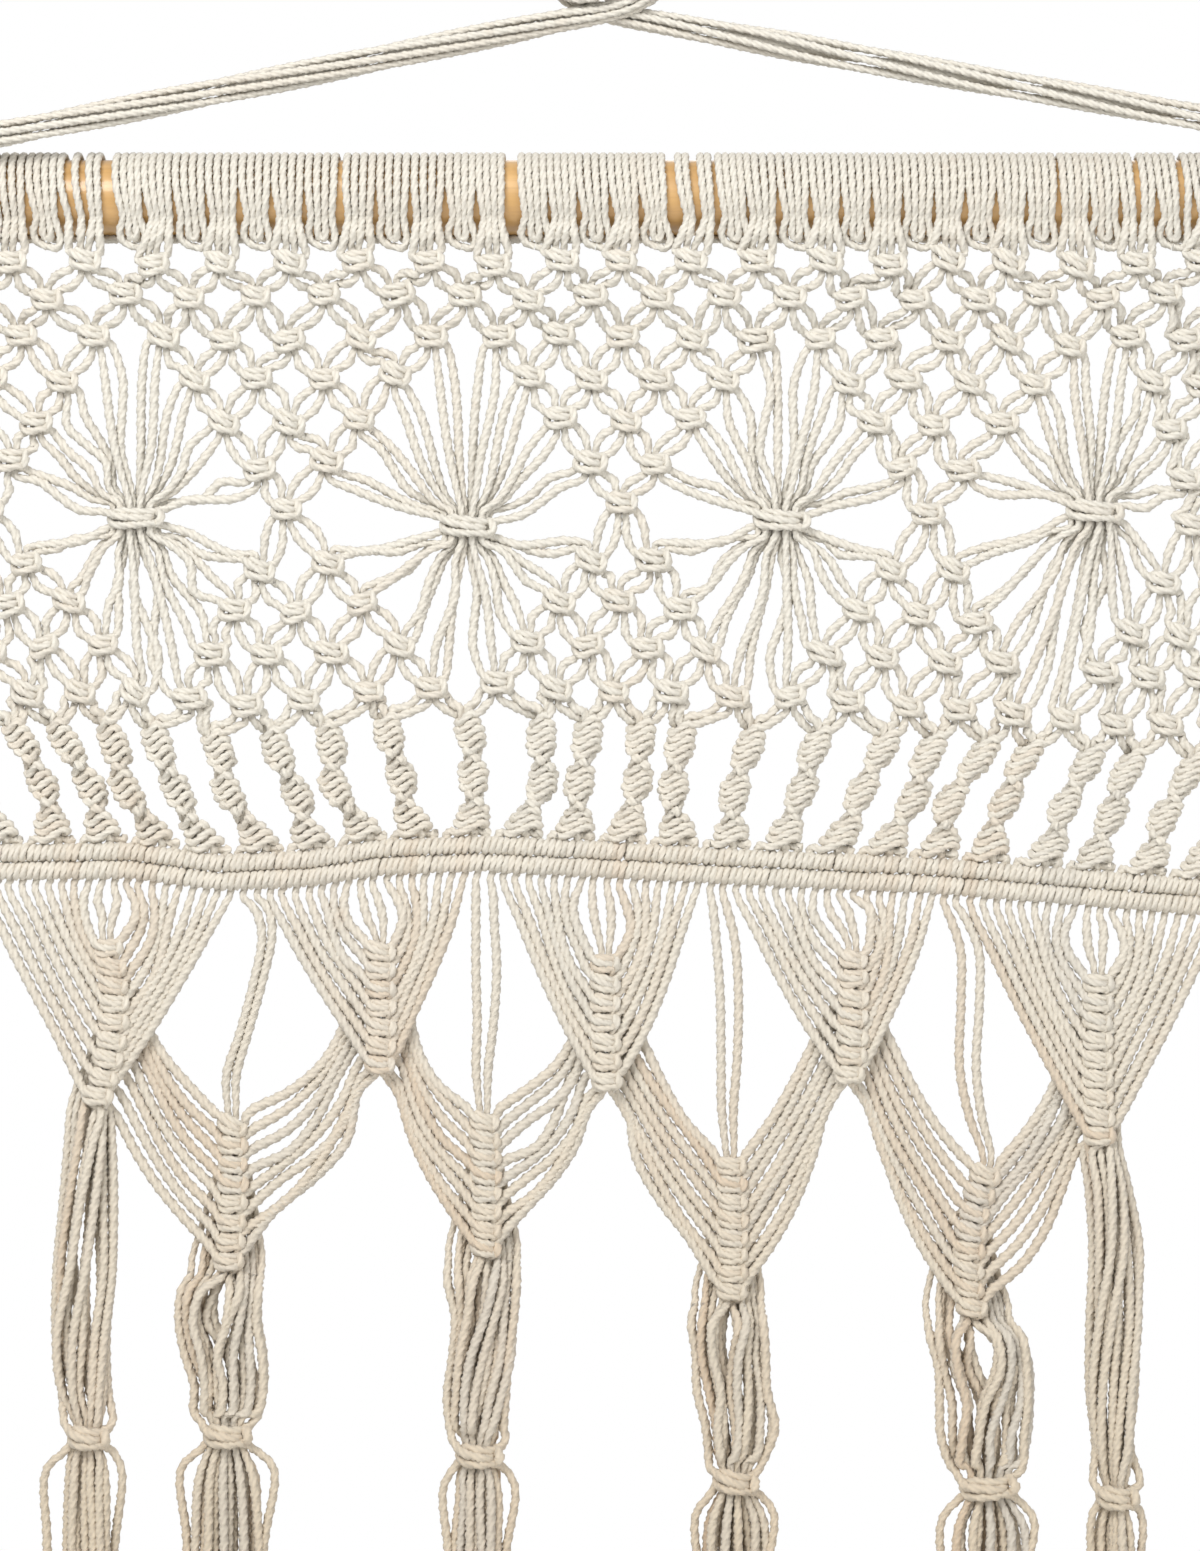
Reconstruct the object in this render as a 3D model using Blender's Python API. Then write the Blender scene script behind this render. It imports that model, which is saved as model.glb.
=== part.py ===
"""Macrame wall hanging on a wooden rod, modelled as it hangs.

+Z is up, +X runs to the right along the rod and the front faces -Y. The origin is the point
that the hanging loop rests on. Sizes and places are in millimetres, and MM turns them into
metres where a vertex is made. A height is given as a drop: how far a point lies below the
rod's axis. Strings are prisms that share their end vertices with the knots they run into, so
each piece of knotted work is one closed body.
"""
import math

import bmesh
import bpy
import numpy as np

MM = 0.001
STRING = 2.5
PIECE_GAP = 0.3

ROD_DIAMETER = 25.0
ROD_LENGTH = 600.0
ROD_SIDES = 24
ROD_END_ROUNDING = 2.0
ROD_DROP = 101.0

UNITS = 24
STRANDS_PER_UNIT = 4
STAR_UNITS = (4, 9, 14, 19)

# Where each unit of the net lies, as x at the rod, at the waist and at the hitched band.
UNIT_COLUMNS = (
    # unit, at_rod, at_waist, at_band
    (-0.5, -268.0, -244.0, -226.0),
    (1.5, -224.0, -206.0, -192.0),
    (4.0, -161.0, -158.0, -148.0),
    (6.5, -106.0, -107.0, -101.0),
    (9.0, -48.0, -47.0, -47.0),
    (11.5, 5.0, 5.0, 2.0),
    (14.0, 61.0, 58.0, 48.0),
    (16.5, 113.0, 107.0, 99.0),
    (19.0, 164.0, 162.0, 141.0),
    (21.5, 219.0, 195.0, 184.0),
    (23.5, 263.0, 235.0, 218.0),
)

# Rows of knots: drop, share of the band's wave that the row follows, and how many units to
# either side of a star's middle have no knot in that row (-1 for none).
KNOT_ROWS = (
    # row, drop, wave_share, star_half_width
    (1, 22.7, 0.0, -1.0),
    (2, 33.7, 0.0, -1.0),
    (3, 47.0, 0.1, -1.0),
    (4, 60.7, 0.2, 0.0),
    (5, 74.7, 0.3, 0.5),
    (6, 89.3, 0.4, 1.0),
    (7, 103.7, 0.5, 1.5),
    (8, 122.3, 0.7, 1.0),
    (9, 137.0, 0.8, 0.5),
    (10, 151.3, 0.9, 0.0),
    (11, 166.7, 1.0, -1.0),
)
WAIST_ROW = 7
SINNET_TOP_DROP = 178.3

# The middle line of the hitched band, which is slightly wavy and falls to the right.
BAND_LINE = (
    # x, drop
    (-210.0, 221.5),
    (-160.0, 220.8),
    (-130.0, 224.8),
    (-100.0, 223.5),
    (-75.0, 219.7),
    (-43.0, 218.5),
    (-5.0, 220.3),
    (40.0, 222.7),
    (108.0, 225.8),
    (148.0, 229.0),
    (205.0, 233.5),
)
BAND_MEAN_DROP = 222.7
BAND_MIDDLE_X = -2.7
STRAND_PITCH = 4.33

KNOT_HALF_WIDTH = 5.0
KNOT_HALF_HEIGHT = 4.0
KNOT_BUMP = 3.2
STRING_HALF_DEPTH = 1.4

STAR_HALF_WIDTH = 8.0
STAR_HALF_HEIGHT = 3.6
STAR_LEGS = 8
STAR_EDGE_HALF_HEIGHT = 0.9
# The gathering knot's surface as height (a share of its half height) and depth.
STAR_FRONT = ((1.0, STRING_HALF_DEPTH), (0.5, 3.6), (0.0, 2.4), (-0.5, 3.6),
              (-1.0, STRING_HALF_DEPTH))
STAR_BACK = ((1.0, STRING_HALF_DEPTH), (0.0, 3.4), (-1.0, STRING_HALF_DEPTH))
STAR_DROPS = {4: 107.0, 9: 109.7, 14: 107.7, 19: 104.7}

SINNET_HALF_WIDTH = 5.0
SINNET_HALF_DEPTH = 2.2
SINNET_LOBES = 3
SINNET_STEPS = 8

# One section of the band, as depth and height about its middle line: two hitched bars at the
# front and a flat back. The last column is how far a ridge lifts the point forwards.
BAND_SECTION = (
    # depth, height, ridge
    (-2.2, 6.2, 0.2),
    (-2.9, 3.2, 0.9),
    (-1.9, 0.0, 0.2),
    (-2.9, -3.2, 0.9),
    (-2.2, -6.2, 0.2),
    (2.4, -6.2, 0.0),
    (2.4, 6.2, 0.0),
)
BAND_HALF_HEIGHT = 6.2

# Knotted leaves: the middle of the column at its top and bottom knot, and how many strands
# join it from each side. Two more come in at its top.
UPPER_LEAVES = (
    # top_x, top_drop, bottom_x, bottom_drop, side_strands
    (-167.3, 247.0, -171.3, 302.3, 9),
    (-76.3, 248.0, -76.3, 292.0, 7),
    (-1.0, 252.0, -0.3, 297.7, 7),
    (81.3, 250.7, 80.0, 295.3, 7),
    (163.3, 258.7, 163.7, 315.7, 9),
)
LOWER_LEAVES = (
    # top_x, top_drop, bottom_x, bottom_drop, side_strands
    (-125.7, 306.3, -127.0, 358.0, 8),
    (-41.7, 305.0, -41.0, 353.3, 8),
    (40.7, 320.0, 41.0, 367.7, 8),
    (126.7, 322.7, 121.7, 373.3, 8),
)
LEAF_HALF_WIDTH = 4.2
LEAF_HALF_DEPTH = 1.6
LEAF_BUMP = 3.4
LEAF_END_NARROWING = 0.75
LEAF_CREST_HALF_WIDTH = 2.4
LOWER_LEAF_Y = 3.6
PAIR_STRANDS = 2

# Half the thickness of a strand's free end: at the band, and where the ends of a lower leaf
# lie close together behind an upper one. Those ends are this far out from the upper leaf's
# middle line and behind its own leaf, over this stretch of the upper leaf's height.
BAND_END_HALF = 1.1
CROWDED_END_HALF = 0.8
CROWDED_END_OUT = 1.8
CROWDED_END_BEHIND = 1.6
CROWDED_STRETCH = (0.15, 1.0)

# Tassels: the tie knot's middle, the point that the strands come down from, how many strands
# there are, and half the width that they spread to above the tie, below it and at their ends.
TASSELS = (
    # tie_x, tie_drop, from_x, from_drop, strands, spread_above, spread_below, spread_end, end
    (-173.3, 413.3, -171.3, 302.3, 12, 11.0, 8.0, 11.0, 612.0),
    (-127.0, 412.7, -127.0, 358.0, 18, 15.0, 12.0, 16.0, 618.0),
    (-43.0, 419.3, -41.0, 353.3, 18, 11.5, 10.0, 14.0, 615.0),
    (42.3, 428.0, 41.0, 367.7, 18, 12.5, 11.0, 15.0, 620.0),
    (126.7, 430.0, 121.7, 373.3, 18, 16.0, 13.0, 16.0, 616.0),
    (169.7, 433.3, 163.7, 315.7, 12, 8.5, 8.0, 10.0, 614.0),
)
TIE_HALF_WIDTH = 7.6
TIE_HALF_DEPTH = 4.6
TIE_HALF_HEIGHT = 3.4
TIE_RINGS = (
    # height, swell
    (-1.0, 0.72),
    (-0.5, 1.0),
    (0.0, 0.86),
    (0.5, 1.0),
    (1.0, 0.72),
)
TASSEL_Y = 2.0
TASSEL_HALF_DEPTH = 5.0
# Where the strands leave the leaf above: how far below its last knot, half their bundle's
# width and its share of the tassel's depth. The tail spreads over its first part, and its
# strands end up to 3 mm above or below its end.
TASSEL_TOP = (1.2, 4.4, 0.6)
TAIL_SPREAD_SHARE = 0.3
TAIL_END_DEEPER = 1.2
TAIL_UNEVENNESS = 3.0
TAIL_UNEVEN_TURN = 2.4
# One strand's share of the bundle's section: how far in its inner edge lies, and the part of
# its angle that its outer face takes up.
STRAND_INNER_REACH = 0.45
STRAND_OUTER_STRETCH = (0.12, 0.88)

SLEEVE_SIDES = 8
SLEEVE_CREST_RADIUS = 15.6
SLEEVE_GROOVE_RADIUS = 14.5
SLEEVE_INNER_RADIUS = (ROD_DIAMETER / 2 + PIECE_GAP) / math.cos(math.pi / SLEEVE_SIDES)

# The strings of the net's first row leave the sleeve low at its front, at this angle below
# the horizontal, in two stretches to either side of a cluster's middle.
LEAVING_ANGLE = math.radians(45)
LEAVING_STRETCH = (0.2, 4.6)
EDGE_STRETCH = (1.5, 6.0)

# The hanging cord's two legs, as seen from the front: where each leaves the rod.
HANGER_LEGS = (
    # name, side, rise, y
    ("left", -1, 1.9, -20.8),
    ("right", 1, 9.4, -18.5),
)
HANGER_SPREAD = 285.0
BUNDLE_RADIUS = 4.3
BUNDLE_SIDES = 8
LUMP_SIDES = 10
# The legs cross under the knot, the left one in front, and end inside it.
LEG_CROSSING_Y = 1.5
LEG_ENDS = (
    # distance past the middle, rise
    (8.0, 63.8),
    (13.0, 72.0),
)

# Wrapped knots as stacks of rings: height about the middle, and share of the full width.
APEX_KNOT_RISE = 78.0
APEX_KNOT_HALF_WIDTH = 20.5
APEX_KNOT_HALF_DEPTH = 10.0
APEX_KNOT_RINGS = (
    # height, swell
    (-12.5, 0.72),
    (-8.0, 0.98),
    (-4.3, 0.86),
    (0.0, 1.0),
    (4.3, 0.86),
    (8.0, 0.92),
    (12.5, 0.6),
)
HITCH_KNOT_HALF_WIDTH = 6.6
HITCH_KNOT_HALF_DEPTH = 4.0
HITCH_KNOT_RINGS = (
    # height, swell
    (-6.5, 0.6),
    (-3.2, 1.0),
    (0.0, 0.86),
    (3.2, 1.0),
    (6.5, 0.6),
)

# Two turns of the bundle round the rod: distance along the rod and height over the bore.
HITCH_SIDES = 12
HITCH_SECTION = (
    # along, height
    (-6.5, 0.0),
    (-6.0, 4.5),
    (-3.3, 6.0),
    (0.0, 4.8),
    (3.3, 6.0),
    (6.0, 4.5),
    (6.5, 0.0),
)

LOOP_TUBE_RADIUS = 3.2
LOOP_TOP_RISE = ROD_DROP + LOOP_TUBE_RADIUS
LOOP_HALF_WIDTH = 9.0
LOOP_ARCH_HEIGHT = 10.0
LOOP_ROOT_RISE = 86.0
LOOP_ROOT_HALF_WIDTH = 7.0
LOOP_STEPS = 8

ROUND_ANGLE = math.radians(50)
COTTON = (0.86, 0.80, 0.67, 1.0)
WOOD = (0.72, 0.47, 0.20, 1.0)


def clear_scene():
    """Remove every object that the scene starts with."""
    for thing in list(bpy.data.objects):
        bpy.data.objects.remove(thing, do_unlink=True)


def make_material(name, colour, roughness):
    """Plain surface of one colour."""
    material = bpy.data.materials.new(name)
    material.use_nodes = True
    shader = material.node_tree.nodes["Principled BSDF"]
    shader.inputs["Base Color"].default_value = colour
    shader.inputs["Roughness"].default_value = roughness
    shader.inputs["Metallic"].default_value = 0.0
    return material


def vertex(body, x, y, drop):
    """Add a vertex at x, y and a drop below the rod's axis, all in millimetres."""
    return body.verts.new((x * MM, y * MM, -(ROD_DROP + drop) * MM))


def bridge(body, first, second):
    """Join two rings of the same number of vertices with a wall."""
    count = len(first)
    for k in range(count):
        after = (k + 1) % count
        body.faces.new((first[k], first[after], second[after], second[k]))


def loft(body, rings, capped=True):
    """Join rings one after another, with an end face on each end when capped."""
    for first, second in zip(rings, rings[1:]):
        bridge(body, first, second)
    if capped:
        body.faces.new(rings[0])
        body.faces.new(rings[-1])


def finish_object(name, body, material, smooth_angle=None):
    """Turn a closed body into an object with its faces pointing out."""
    bmesh.ops.triangulate(body, faces=body.faces[:])
    bmesh.ops.recalc_face_normals(body, faces=body.faces[:])
    mesh = bpy.data.meshes.new(name)
    body.to_mesh(mesh)
    body.free()
    mesh.materials.append(material)
    if smooth_angle is not None:
        mesh.shade_smooth()
        mesh.set_sharp_from_angle(angle=smooth_angle)
    thing = bpy.data.objects.new(name, mesh)
    bpy.context.scene.collection.objects.link(thing)
    return thing


def band_drop(x):
    """Drop of the band's middle line at x."""
    line = np.array(BAND_LINE)
    return float(np.interp(x, line[:, 0], line[:, 1]))


def unit_x(unit, drop):
    """X of a unit of the net at a drop: straight lines between rod, waist and band."""
    table = np.array(UNIT_COLUMNS)
    at_levels = [float(np.interp(unit, table[:, 0], table[:, k])) for k in (1, 2, 3)]
    drops = (KNOT_ROWS[0][1], KNOT_ROWS[WAIST_ROW - 1][1], SINNET_TOP_DROP)
    return float(np.interp(drop, drops, at_levels))


def net_y(drop):
    """Depth of the net: in front below the rod, then settling under the rod's middle."""
    return float(np.interp(drop, (20.0, 50.0), (-10.0, 0.0)))


def row_units(row):
    """Units at which a row has knots: whole numbers in even rows, halves in odd rows."""
    if row % 2 == 0:
        return [float(unit) for unit in range(UNITS)]
    return [unit + 0.5 for unit in range(UNITS - 1)]


def star_beside(unit, half_width):
    """The star whose open diamond takes this place in a row, or None."""
    for star in STAR_UNITS:
        if abs(unit - star) <= half_width:
            return star
    return None


def add_knot(body, x, y, drop):
    """Add one knot of the net: a diamond with a raised middle on both faces.

    Its four slanted edges are ports. A lower port is its side and bottom corner and an upper
    port its top and side corner, so that ports join in that order.
    """
    corners = {}
    for name, dx, dz in (("top", 0, KNOT_HALF_HEIGHT), ("right", KNOT_HALF_WIDTH, 0),
                         ("bottom", 0, -KNOT_HALF_HEIGHT), ("left", -KNOT_HALF_WIDTH, 0)):
        for face, dy in (("front", -STRING_HALF_DEPTH), ("back", STRING_HALF_DEPTH)):
            corners[name, face] = vertex(body, x + dx, y + dy, drop - dz)
    for face, dy in (("front", -KNOT_BUMP), ("back", KNOT_BUMP)):
        middle = vertex(body, x, y + dy, drop)
        loop = [corners[name, face] for name in ("top", "right", "bottom", "left")]
        for k in range(4):
            body.faces.new((middle, loop[k], loop[(k + 1) % 4]))

    def port(first, second):
        return [corners[first, "front"], corners[second, "front"],
                corners[second, "back"], corners[first, "back"]]

    return {"upper_left": port("top", "left"), "upper_right": port("top", "right"),
            "lower_left": port("left", "bottom"), "lower_right": port("right", "bottom")}


def add_star(body, x, y, drop):
    """Add the gathering knot of a star, with two ridges in front and a full back.

    Its outline is an ellipse. Eight ports lie side by side over it and eight under it.
    """
    fractions = [(k / STAR_LEGS) * 2.0 - 1.0 for k in range(STAR_LEGS + 1)]
    sides = []
    for rows, sign in ((STAR_FRONT, -1), (STAR_BACK, 1)):
        grid = []
        for height, depth in rows:
            line = []
            for fraction in fractions:
                reach = math.sin(fraction * math.pi / 2)
                rounded = math.cos(fraction * math.pi / 2)
                tall = STAR_EDGE_HALF_HEIGHT
                tall += (STAR_HALF_HEIGHT - STAR_EDGE_HALF_HEIGHT) * rounded
                thick = STRING_HALF_DEPTH + (depth - STRING_HALF_DEPTH) * (1 - fraction ** 4)
                line.append(vertex(body, x + STAR_HALF_WIDTH * reach, y + sign * thick,
                                   drop - height * tall))
            grid.append(line)
        for upper, lower in zip(grid, grid[1:]):
            for k in range(STAR_LEGS):
                body.faces.new((upper[k], upper[k + 1], lower[k + 1], lower[k]))
        sides.append(grid)
    front, back = sides
    for k in (0, STAR_LEGS):
        body.faces.new([row[k] for row in front] + [row[k] for row in reversed(back)])

    def port(row, k):
        return [front[row][k], front[row][k + 1], back[row][k + 1], back[row][k]]

    return [port(0, k) for k in range(STAR_LEGS)], [port(-1, k) for k in range(STAR_LEGS)]


def flipped(port):
    """The same port with its two ends changed over."""
    return [port[1], port[0], port[3], port[2]]


def add_sinnet(body, x, drop, base):
    """Add a spiral sinnet from its two ports down to its six base vertices on the band.

    The section is a flat hexagon that turns half a turn in each lobe.
    """
    base_x = sum(point.co.x for point in base) / len(base) / MM
    base_drop = -base[0].co.z / MM - ROD_DROP
    section = ((-1, -1), (0, -1), (1, -1), (1, 1), (0, 1), (-1, 1))
    rings = []
    for step in range(SINNET_STEPS):
        share = step / SINNET_STEPS
        angle = math.pi * SINNET_LOBES * share
        middle_x = x + (base_x - x) * share
        middle_drop = drop + (base_drop - drop) * share
        ring = []
        for across, deep in section:
            flat_x = across * SINNET_HALF_WIDTH
            flat_y = deep * (STRING_HALF_DEPTH if step == 0 else SINNET_HALF_DEPTH)
            ring.append(vertex(body,
                               middle_x + flat_x * math.cos(angle) - flat_y * math.sin(angle),
                               flat_x * math.sin(angle) + flat_y * math.cos(angle),
                               middle_drop))
        rings.append(ring)
    half_turn = 3 * (SINNET_LOBES % 2)
    rings.append(base[half_turn:] + base[:half_turn])
    loft(body, rings, capped=False)
    top = rings[0]
    left = [top[1], top[0], top[5], top[4]]
    right = [top[1], top[2], top[3], top[4]]
    return {"upper_left": left, "upper_right": right}


def add_band(body):
    """Add the two hitched bars as one ridged band, and return each sinnet's base vertices."""
    count = UNITS * STRANDS_PER_UNIT
    rings = []
    for station in range(count + 1):
        x = BAND_MIDDLE_X + (station - count / 2) * STRAND_PITCH
        crest = station % 2
        middle = band_drop(x)
        rings.append([vertex(body, x, depth - crest * ridge, middle - height)
                      for depth, height, ridge in BAND_SECTION])
    bases = []
    for unit in range(UNITS):
        stations = [unit * STRANDS_PER_UNIT + k for k in (1, 2, 3)]
        bases.append([rings[s][0] for s in stations] + [rings[s][-1] for s in reversed(stations)])
    open_top = {unit * STRANDS_PER_UNIT + k for unit in range(UNITS) for k in (1, 2)}
    last = len(BAND_SECTION) - 1
    for station, (first, second) in enumerate(zip(rings, rings[1:])):
        for k in range(last + 1):
            if k == last and station in open_top:
                continue
            after = (k + 1) % (last + 1)
            body.faces.new((first[k], first[after], second[after], second[k]))
    body.faces.new(rings[0])
    body.faces.new(rings[-1])
    return bases


def add_loose_end(body, port, x, stretch, side):
    """Run a port's string up to a free end just off the sleeve, and close that end."""
    near = SLEEVE_CREST_RADIUS + PIECE_GAP
    end = []
    for radius, order in ((near + STRING, stretch), (near, tuple(reversed(stretch)))):
        for across in order:
            end.append(vertex(body, x + side * across, -radius * math.cos(LEAVING_ANGLE),
                              radius * math.sin(LEAVING_ANGLE)))
    bridge(body, port, end)
    body.faces.new(end)


def build_net(cotton):
    """The net with its four stars, the 24 spiral sinnets and the hitched band under them."""
    body = bmesh.new()
    ports = {}
    stars = {}
    for row, drop, wave_share, star_half_width in KNOT_ROWS:
        for unit in row_units(row):
            if star_beside(unit, star_half_width) is not None:
                continue
            x = unit_x(unit, drop)
            wave = wave_share * (band_drop(x) - BAND_MEAN_DROP)
            ports[row, unit] = add_knot(body, x, net_y(drop), drop + wave)
    for star in STAR_UNITS:
        drop = STAR_DROPS[star]
        stars[star] = add_star(body, unit_x(star, drop), 0.0, drop)
    bases = add_band(body)
    sinnet_row = KNOT_ROWS[-1][0] + 1
    for unit in range(UNITS):
        x = unit_x(unit, SINNET_TOP_DROP)
        wave = band_drop(x) - BAND_MEAN_DROP
        ports[sinnet_row, float(unit)] = add_sinnet(body, x, SINNET_TOP_DROP + wave, bases[unit])
    join_net(body, ports, stars, sinnet_row)
    hang_net(body, ports)
    return finish_object("net_with_sinnets_and_band", body, cotton)


def join_net(body, ports, stars, last_row):
    """Run every knot's two lower legs to the knots below it, or into a star."""
    taken_up = {}
    for star in STAR_UNITS:
        for k in range(STAR_LEGS // 2):
            left, right = star - STAR_LEGS / 4 + k * 0.5, star + STAR_LEGS / 4 - k * 0.5
            upper, lower = stars[star]
            above, below = 6 - k, 8 + k
            bridge(body, ports[above, left]["lower_right"], flipped(upper[k]))
            bridge(body, ports[above, right]["lower_left"], upper[STAR_LEGS - 1 - k])
            bridge(body, ports[below, left]["upper_right"], lower[k])
            bridge(body, ports[below, right]["upper_left"], flipped(lower[STAR_LEGS - 1 - k]))
            taken_up[above, left, "lower_right"] = True
            taken_up[above, right, "lower_left"] = True
    for row in range(1, last_row):
        for unit in row_units(row):
            if (row, unit) not in ports:
                continue
            for side, step, other in (("lower_left", -0.5, "upper_right"),
                                      ("lower_right", 0.5, "upper_left")):
                if (row, unit, side) in taken_up:
                    continue
                if (row + 1, unit + step) in ports:
                    bridge(body, ports[row, unit][side], ports[row + 1, unit + step][other])
                else:
                    same = side.replace("lower", "upper")
                    bridge(body, ports[row, unit][side], flipped(ports[row + 2, unit][same]))


def hang_net(body, ports):
    """Run the first row's upper legs, and the two edge legs of the second, up to the rod."""
    for unit in row_units(1):
        x = unit_x(unit, 0.0)
        add_loose_end(body, ports[1, unit]["upper_left"], x, LEAVING_STRETCH, -1)
        add_loose_end(body, ports[1, unit]["upper_right"], x, LEAVING_STRETCH, 1)
    edge = EDGE_STRETCH[1], EDGE_STRETCH[0]
    last = float(UNITS - 1)
    add_loose_end(body, ports[2, 0.0]["upper_left"], unit_x(-0.5, 0.0), edge, 1)
    add_loose_end(body, ports[2, last]["upper_right"], unit_x(UNITS - 0.5, 0.0), edge, -1)


def build_rod(wood):
    """The wooden rod, a cylinder along X with its end edges rounded."""
    body = bmesh.new()
    half = ROD_LENGTH / 2
    rounding = ROD_END_ROUNDING
    profile = ((-half, -rounding), (-half + 0.3 * rounding, -0.3 * rounding),
               (-half + rounding, 0.0), (half - rounding, 0.0),
               (half - 0.3 * rounding, -0.3 * rounding), (half, -rounding))
    rings = []
    for x, change in profile:
        radius = ROD_DIAMETER / 2 + change
        rings.append([vertex(body, x, radius * math.cos(angle), radius * math.sin(angle))
                      for angle in np.arange(ROD_SIDES) * 2 * math.pi / ROD_SIDES])
    loft(body, rings)
    return finish_object("rod", body, wood, ROUND_ANGLE)


def build_mounting_knots(cotton):
    """The strings hitched round the rod: a sleeve with a ridge for each cluster of four."""
    body = bmesh.new()
    angles = (np.arange(SLEEVE_SIDES) + 0.5) * 2 * math.pi / SLEEVE_SIDES
    stations = UNITS * 4
    rings = []
    for station in range(stations + 1):
        x = unit_x(-0.5 + station * 0.25, 0.0)
        radius = SLEEVE_GROOVE_RADIUS if station % 2 else SLEEVE_CREST_RADIUS
        rings.append([vertex(body, x, radius * math.cos(a), radius * math.sin(a))
                      for a in angles])
    loft(body, rings, capped=False)
    inner = []
    for unit in (-0.5, UNITS - 0.5):
        x = unit_x(unit, 0.0)
        inner.append([vertex(body, x, SLEEVE_INNER_RADIUS * math.cos(a),
                             SLEEVE_INNER_RADIUS * math.sin(a)) for a in angles])
    bridge(body, inner[0], inner[1])
    bridge(body, rings[0], inner[0])
    bridge(body, rings[-1], inner[1])
    return finish_object("mounting_knots", body, cotton)


def add_leaf(body, leaf, y, top_ends, left_ends, right_ends):
    """Add one knotted leaf: a ridged column, with a strand in each port at its sides and top.

    Every end is the x, y, drop and half thickness of a strand's far end.
    """
    top_x, top_drop, bottom_x, bottom_drop, side_strands = leaf
    levels = side_strands + 1
    rings = []
    for level in range(levels + 1):
        share = level / levels
        x = top_x + (bottom_x - top_x) * share
        drop = top_drop + (bottom_drop - top_drop) * share
        narrow = LEAF_END_NARROWING if level in (0, levels) else 1.0
        half = LEAF_HALF_WIDTH * narrow
        rings.append([vertex(body, x + dx, y + dy, drop) for dx, dy in (
            (-half, -LEAF_HALF_DEPTH), (half, -LEAF_HALF_DEPTH),
            (half, LEAF_HALF_DEPTH), (-half, LEAF_HALF_DEPTH))])
    top = rings[0]
    front = vertex(body, top_x, y - LEAF_HALF_DEPTH, top_drop)
    back = vertex(body, top_x, y + LEAF_HALF_DEPTH, top_drop)
    for level, (upper, lower) in enumerate(zip(rings, rings[1:])):
        share = (level + 0.5) / levels
        x = top_x + (bottom_x - top_x) * share
        drop = top_drop + (bottom_drop - top_drop) * share
        crest = [vertex(body, x + side * LEAF_CREST_HALF_WIDTH, y - LEAF_BUMP, drop)
                 for side in (-1, 1)]
        body.faces.new(([] if level else [front]) + [upper[1], crest[1], crest[0], upper[0]])
        body.faces.new((lower[0], lower[1], crest[1], crest[0]))
        body.faces.new((upper[0], lower[0], crest[0]))
        body.faces.new((upper[1], lower[1], crest[1]))
        body.faces.new(([] if level else [back]) + [upper[2], lower[2], lower[3], upper[3]])
        left_port = [upper[0], lower[0], lower[3], upper[3]]
        right_port = [upper[1], lower[1], lower[2], upper[2]]
        for port, ends, outward in ((left_port, left_ends, -1), (right_port, right_ends, 1)):
            if level < len(ends):
                add_strand(body, port, ends[level], outward)
            else:
                body.faces.new(port)
    add_strand(body, [front, top[0], top[3], back], top_ends[0], -1)
    add_strand(body, [front, top[1], top[2], back], top_ends[1], 1)
    body.faces.new(rings[-1])


def add_strand(body, port, end, outward):
    """Run a four-sided strand from a port to its far end, and close it there.

    The port's first and last vertices are its upper or inner ones.
    """
    x, y, drop, half = end
    ring = [vertex(body, x - outward * half, y - half, drop),
            vertex(body, x + outward * half, y - half, drop),
            vertex(body, x + outward * half, y + half, drop),
            vertex(body, x - outward * half, y + half, drop)]
    bridge(body, port, ring)
    body.faces.new(ring)


def strand_end(strand):
    """Where a strand leaves the band's lower edge: x, y, drop and half thickness."""
    x = BAND_MIDDLE_X + (strand + 0.5 - UNITS * STRANDS_PER_UNIT / 2) * STRAND_PITCH
    return x, 0.0, band_drop(x) + BAND_HALF_HEIGHT + 2 * PIECE_GAP, BAND_END_HALF


def build_leaves(cotton):
    """Five upper leaves that fan out from the band and four lower leaves between them."""
    strand = 0
    pairs = []
    for number, leaf in enumerate(UPPER_LEAVES, start=1):
        side = leaf[4]
        first = strand
        middle = first + side
        left = [strand_end(middle - 1 - k) for k in range(side)]
        right = [strand_end(middle + PAIR_STRANDS + k) for k in range(side)]
        top = [strand_end(middle), strand_end(middle + 1)]
        body = bmesh.new()
        add_leaf(body, leaf, 0.0, top, left, right)
        finish_object(f"upper_leaf_{number}", body, cotton)
        strand = first + 2 * side + PAIR_STRANDS
        pairs.append((strand, strand + 1))
        strand += PAIR_STRANDS
    for number, leaf in enumerate(LOWER_LEAVES, start=1):
        build_lower_leaf(number, leaf, pairs[number - 1], cotton)


def build_lower_leaf(number, leaf, pair, cotton):
    """A lower leaf: a pair from the band at its top, and strands from both upper leaves."""
    side = leaf[4]
    beside = UPPER_LEAVES[number - 1:number + 1]
    y = LOWER_LEAF_Y
    fans = []
    first, last = CROWDED_STRETCH
    for upper, outward in ((beside[0], 1), (beside[1], -1)):
        ends = []
        for k in range(side):
            share = first + (last - first) * (k + 0.5) / side
            x = upper[0] + (upper[2] - upper[0]) * share + outward * CROWDED_END_OUT
            drop = upper[1] + (upper[3] - upper[1]) * share
            ends.append((x, y + CROWDED_END_BEHIND, drop, CROWDED_END_HALF))
        fans.append(ends)
    top = [strand_end(strand) for strand in pair]
    body = bmesh.new()
    add_leaf(body, leaf, y, top, fans[0], fans[1])
    finish_object(f"lower_leaf_{number}", body, cotton)


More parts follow.
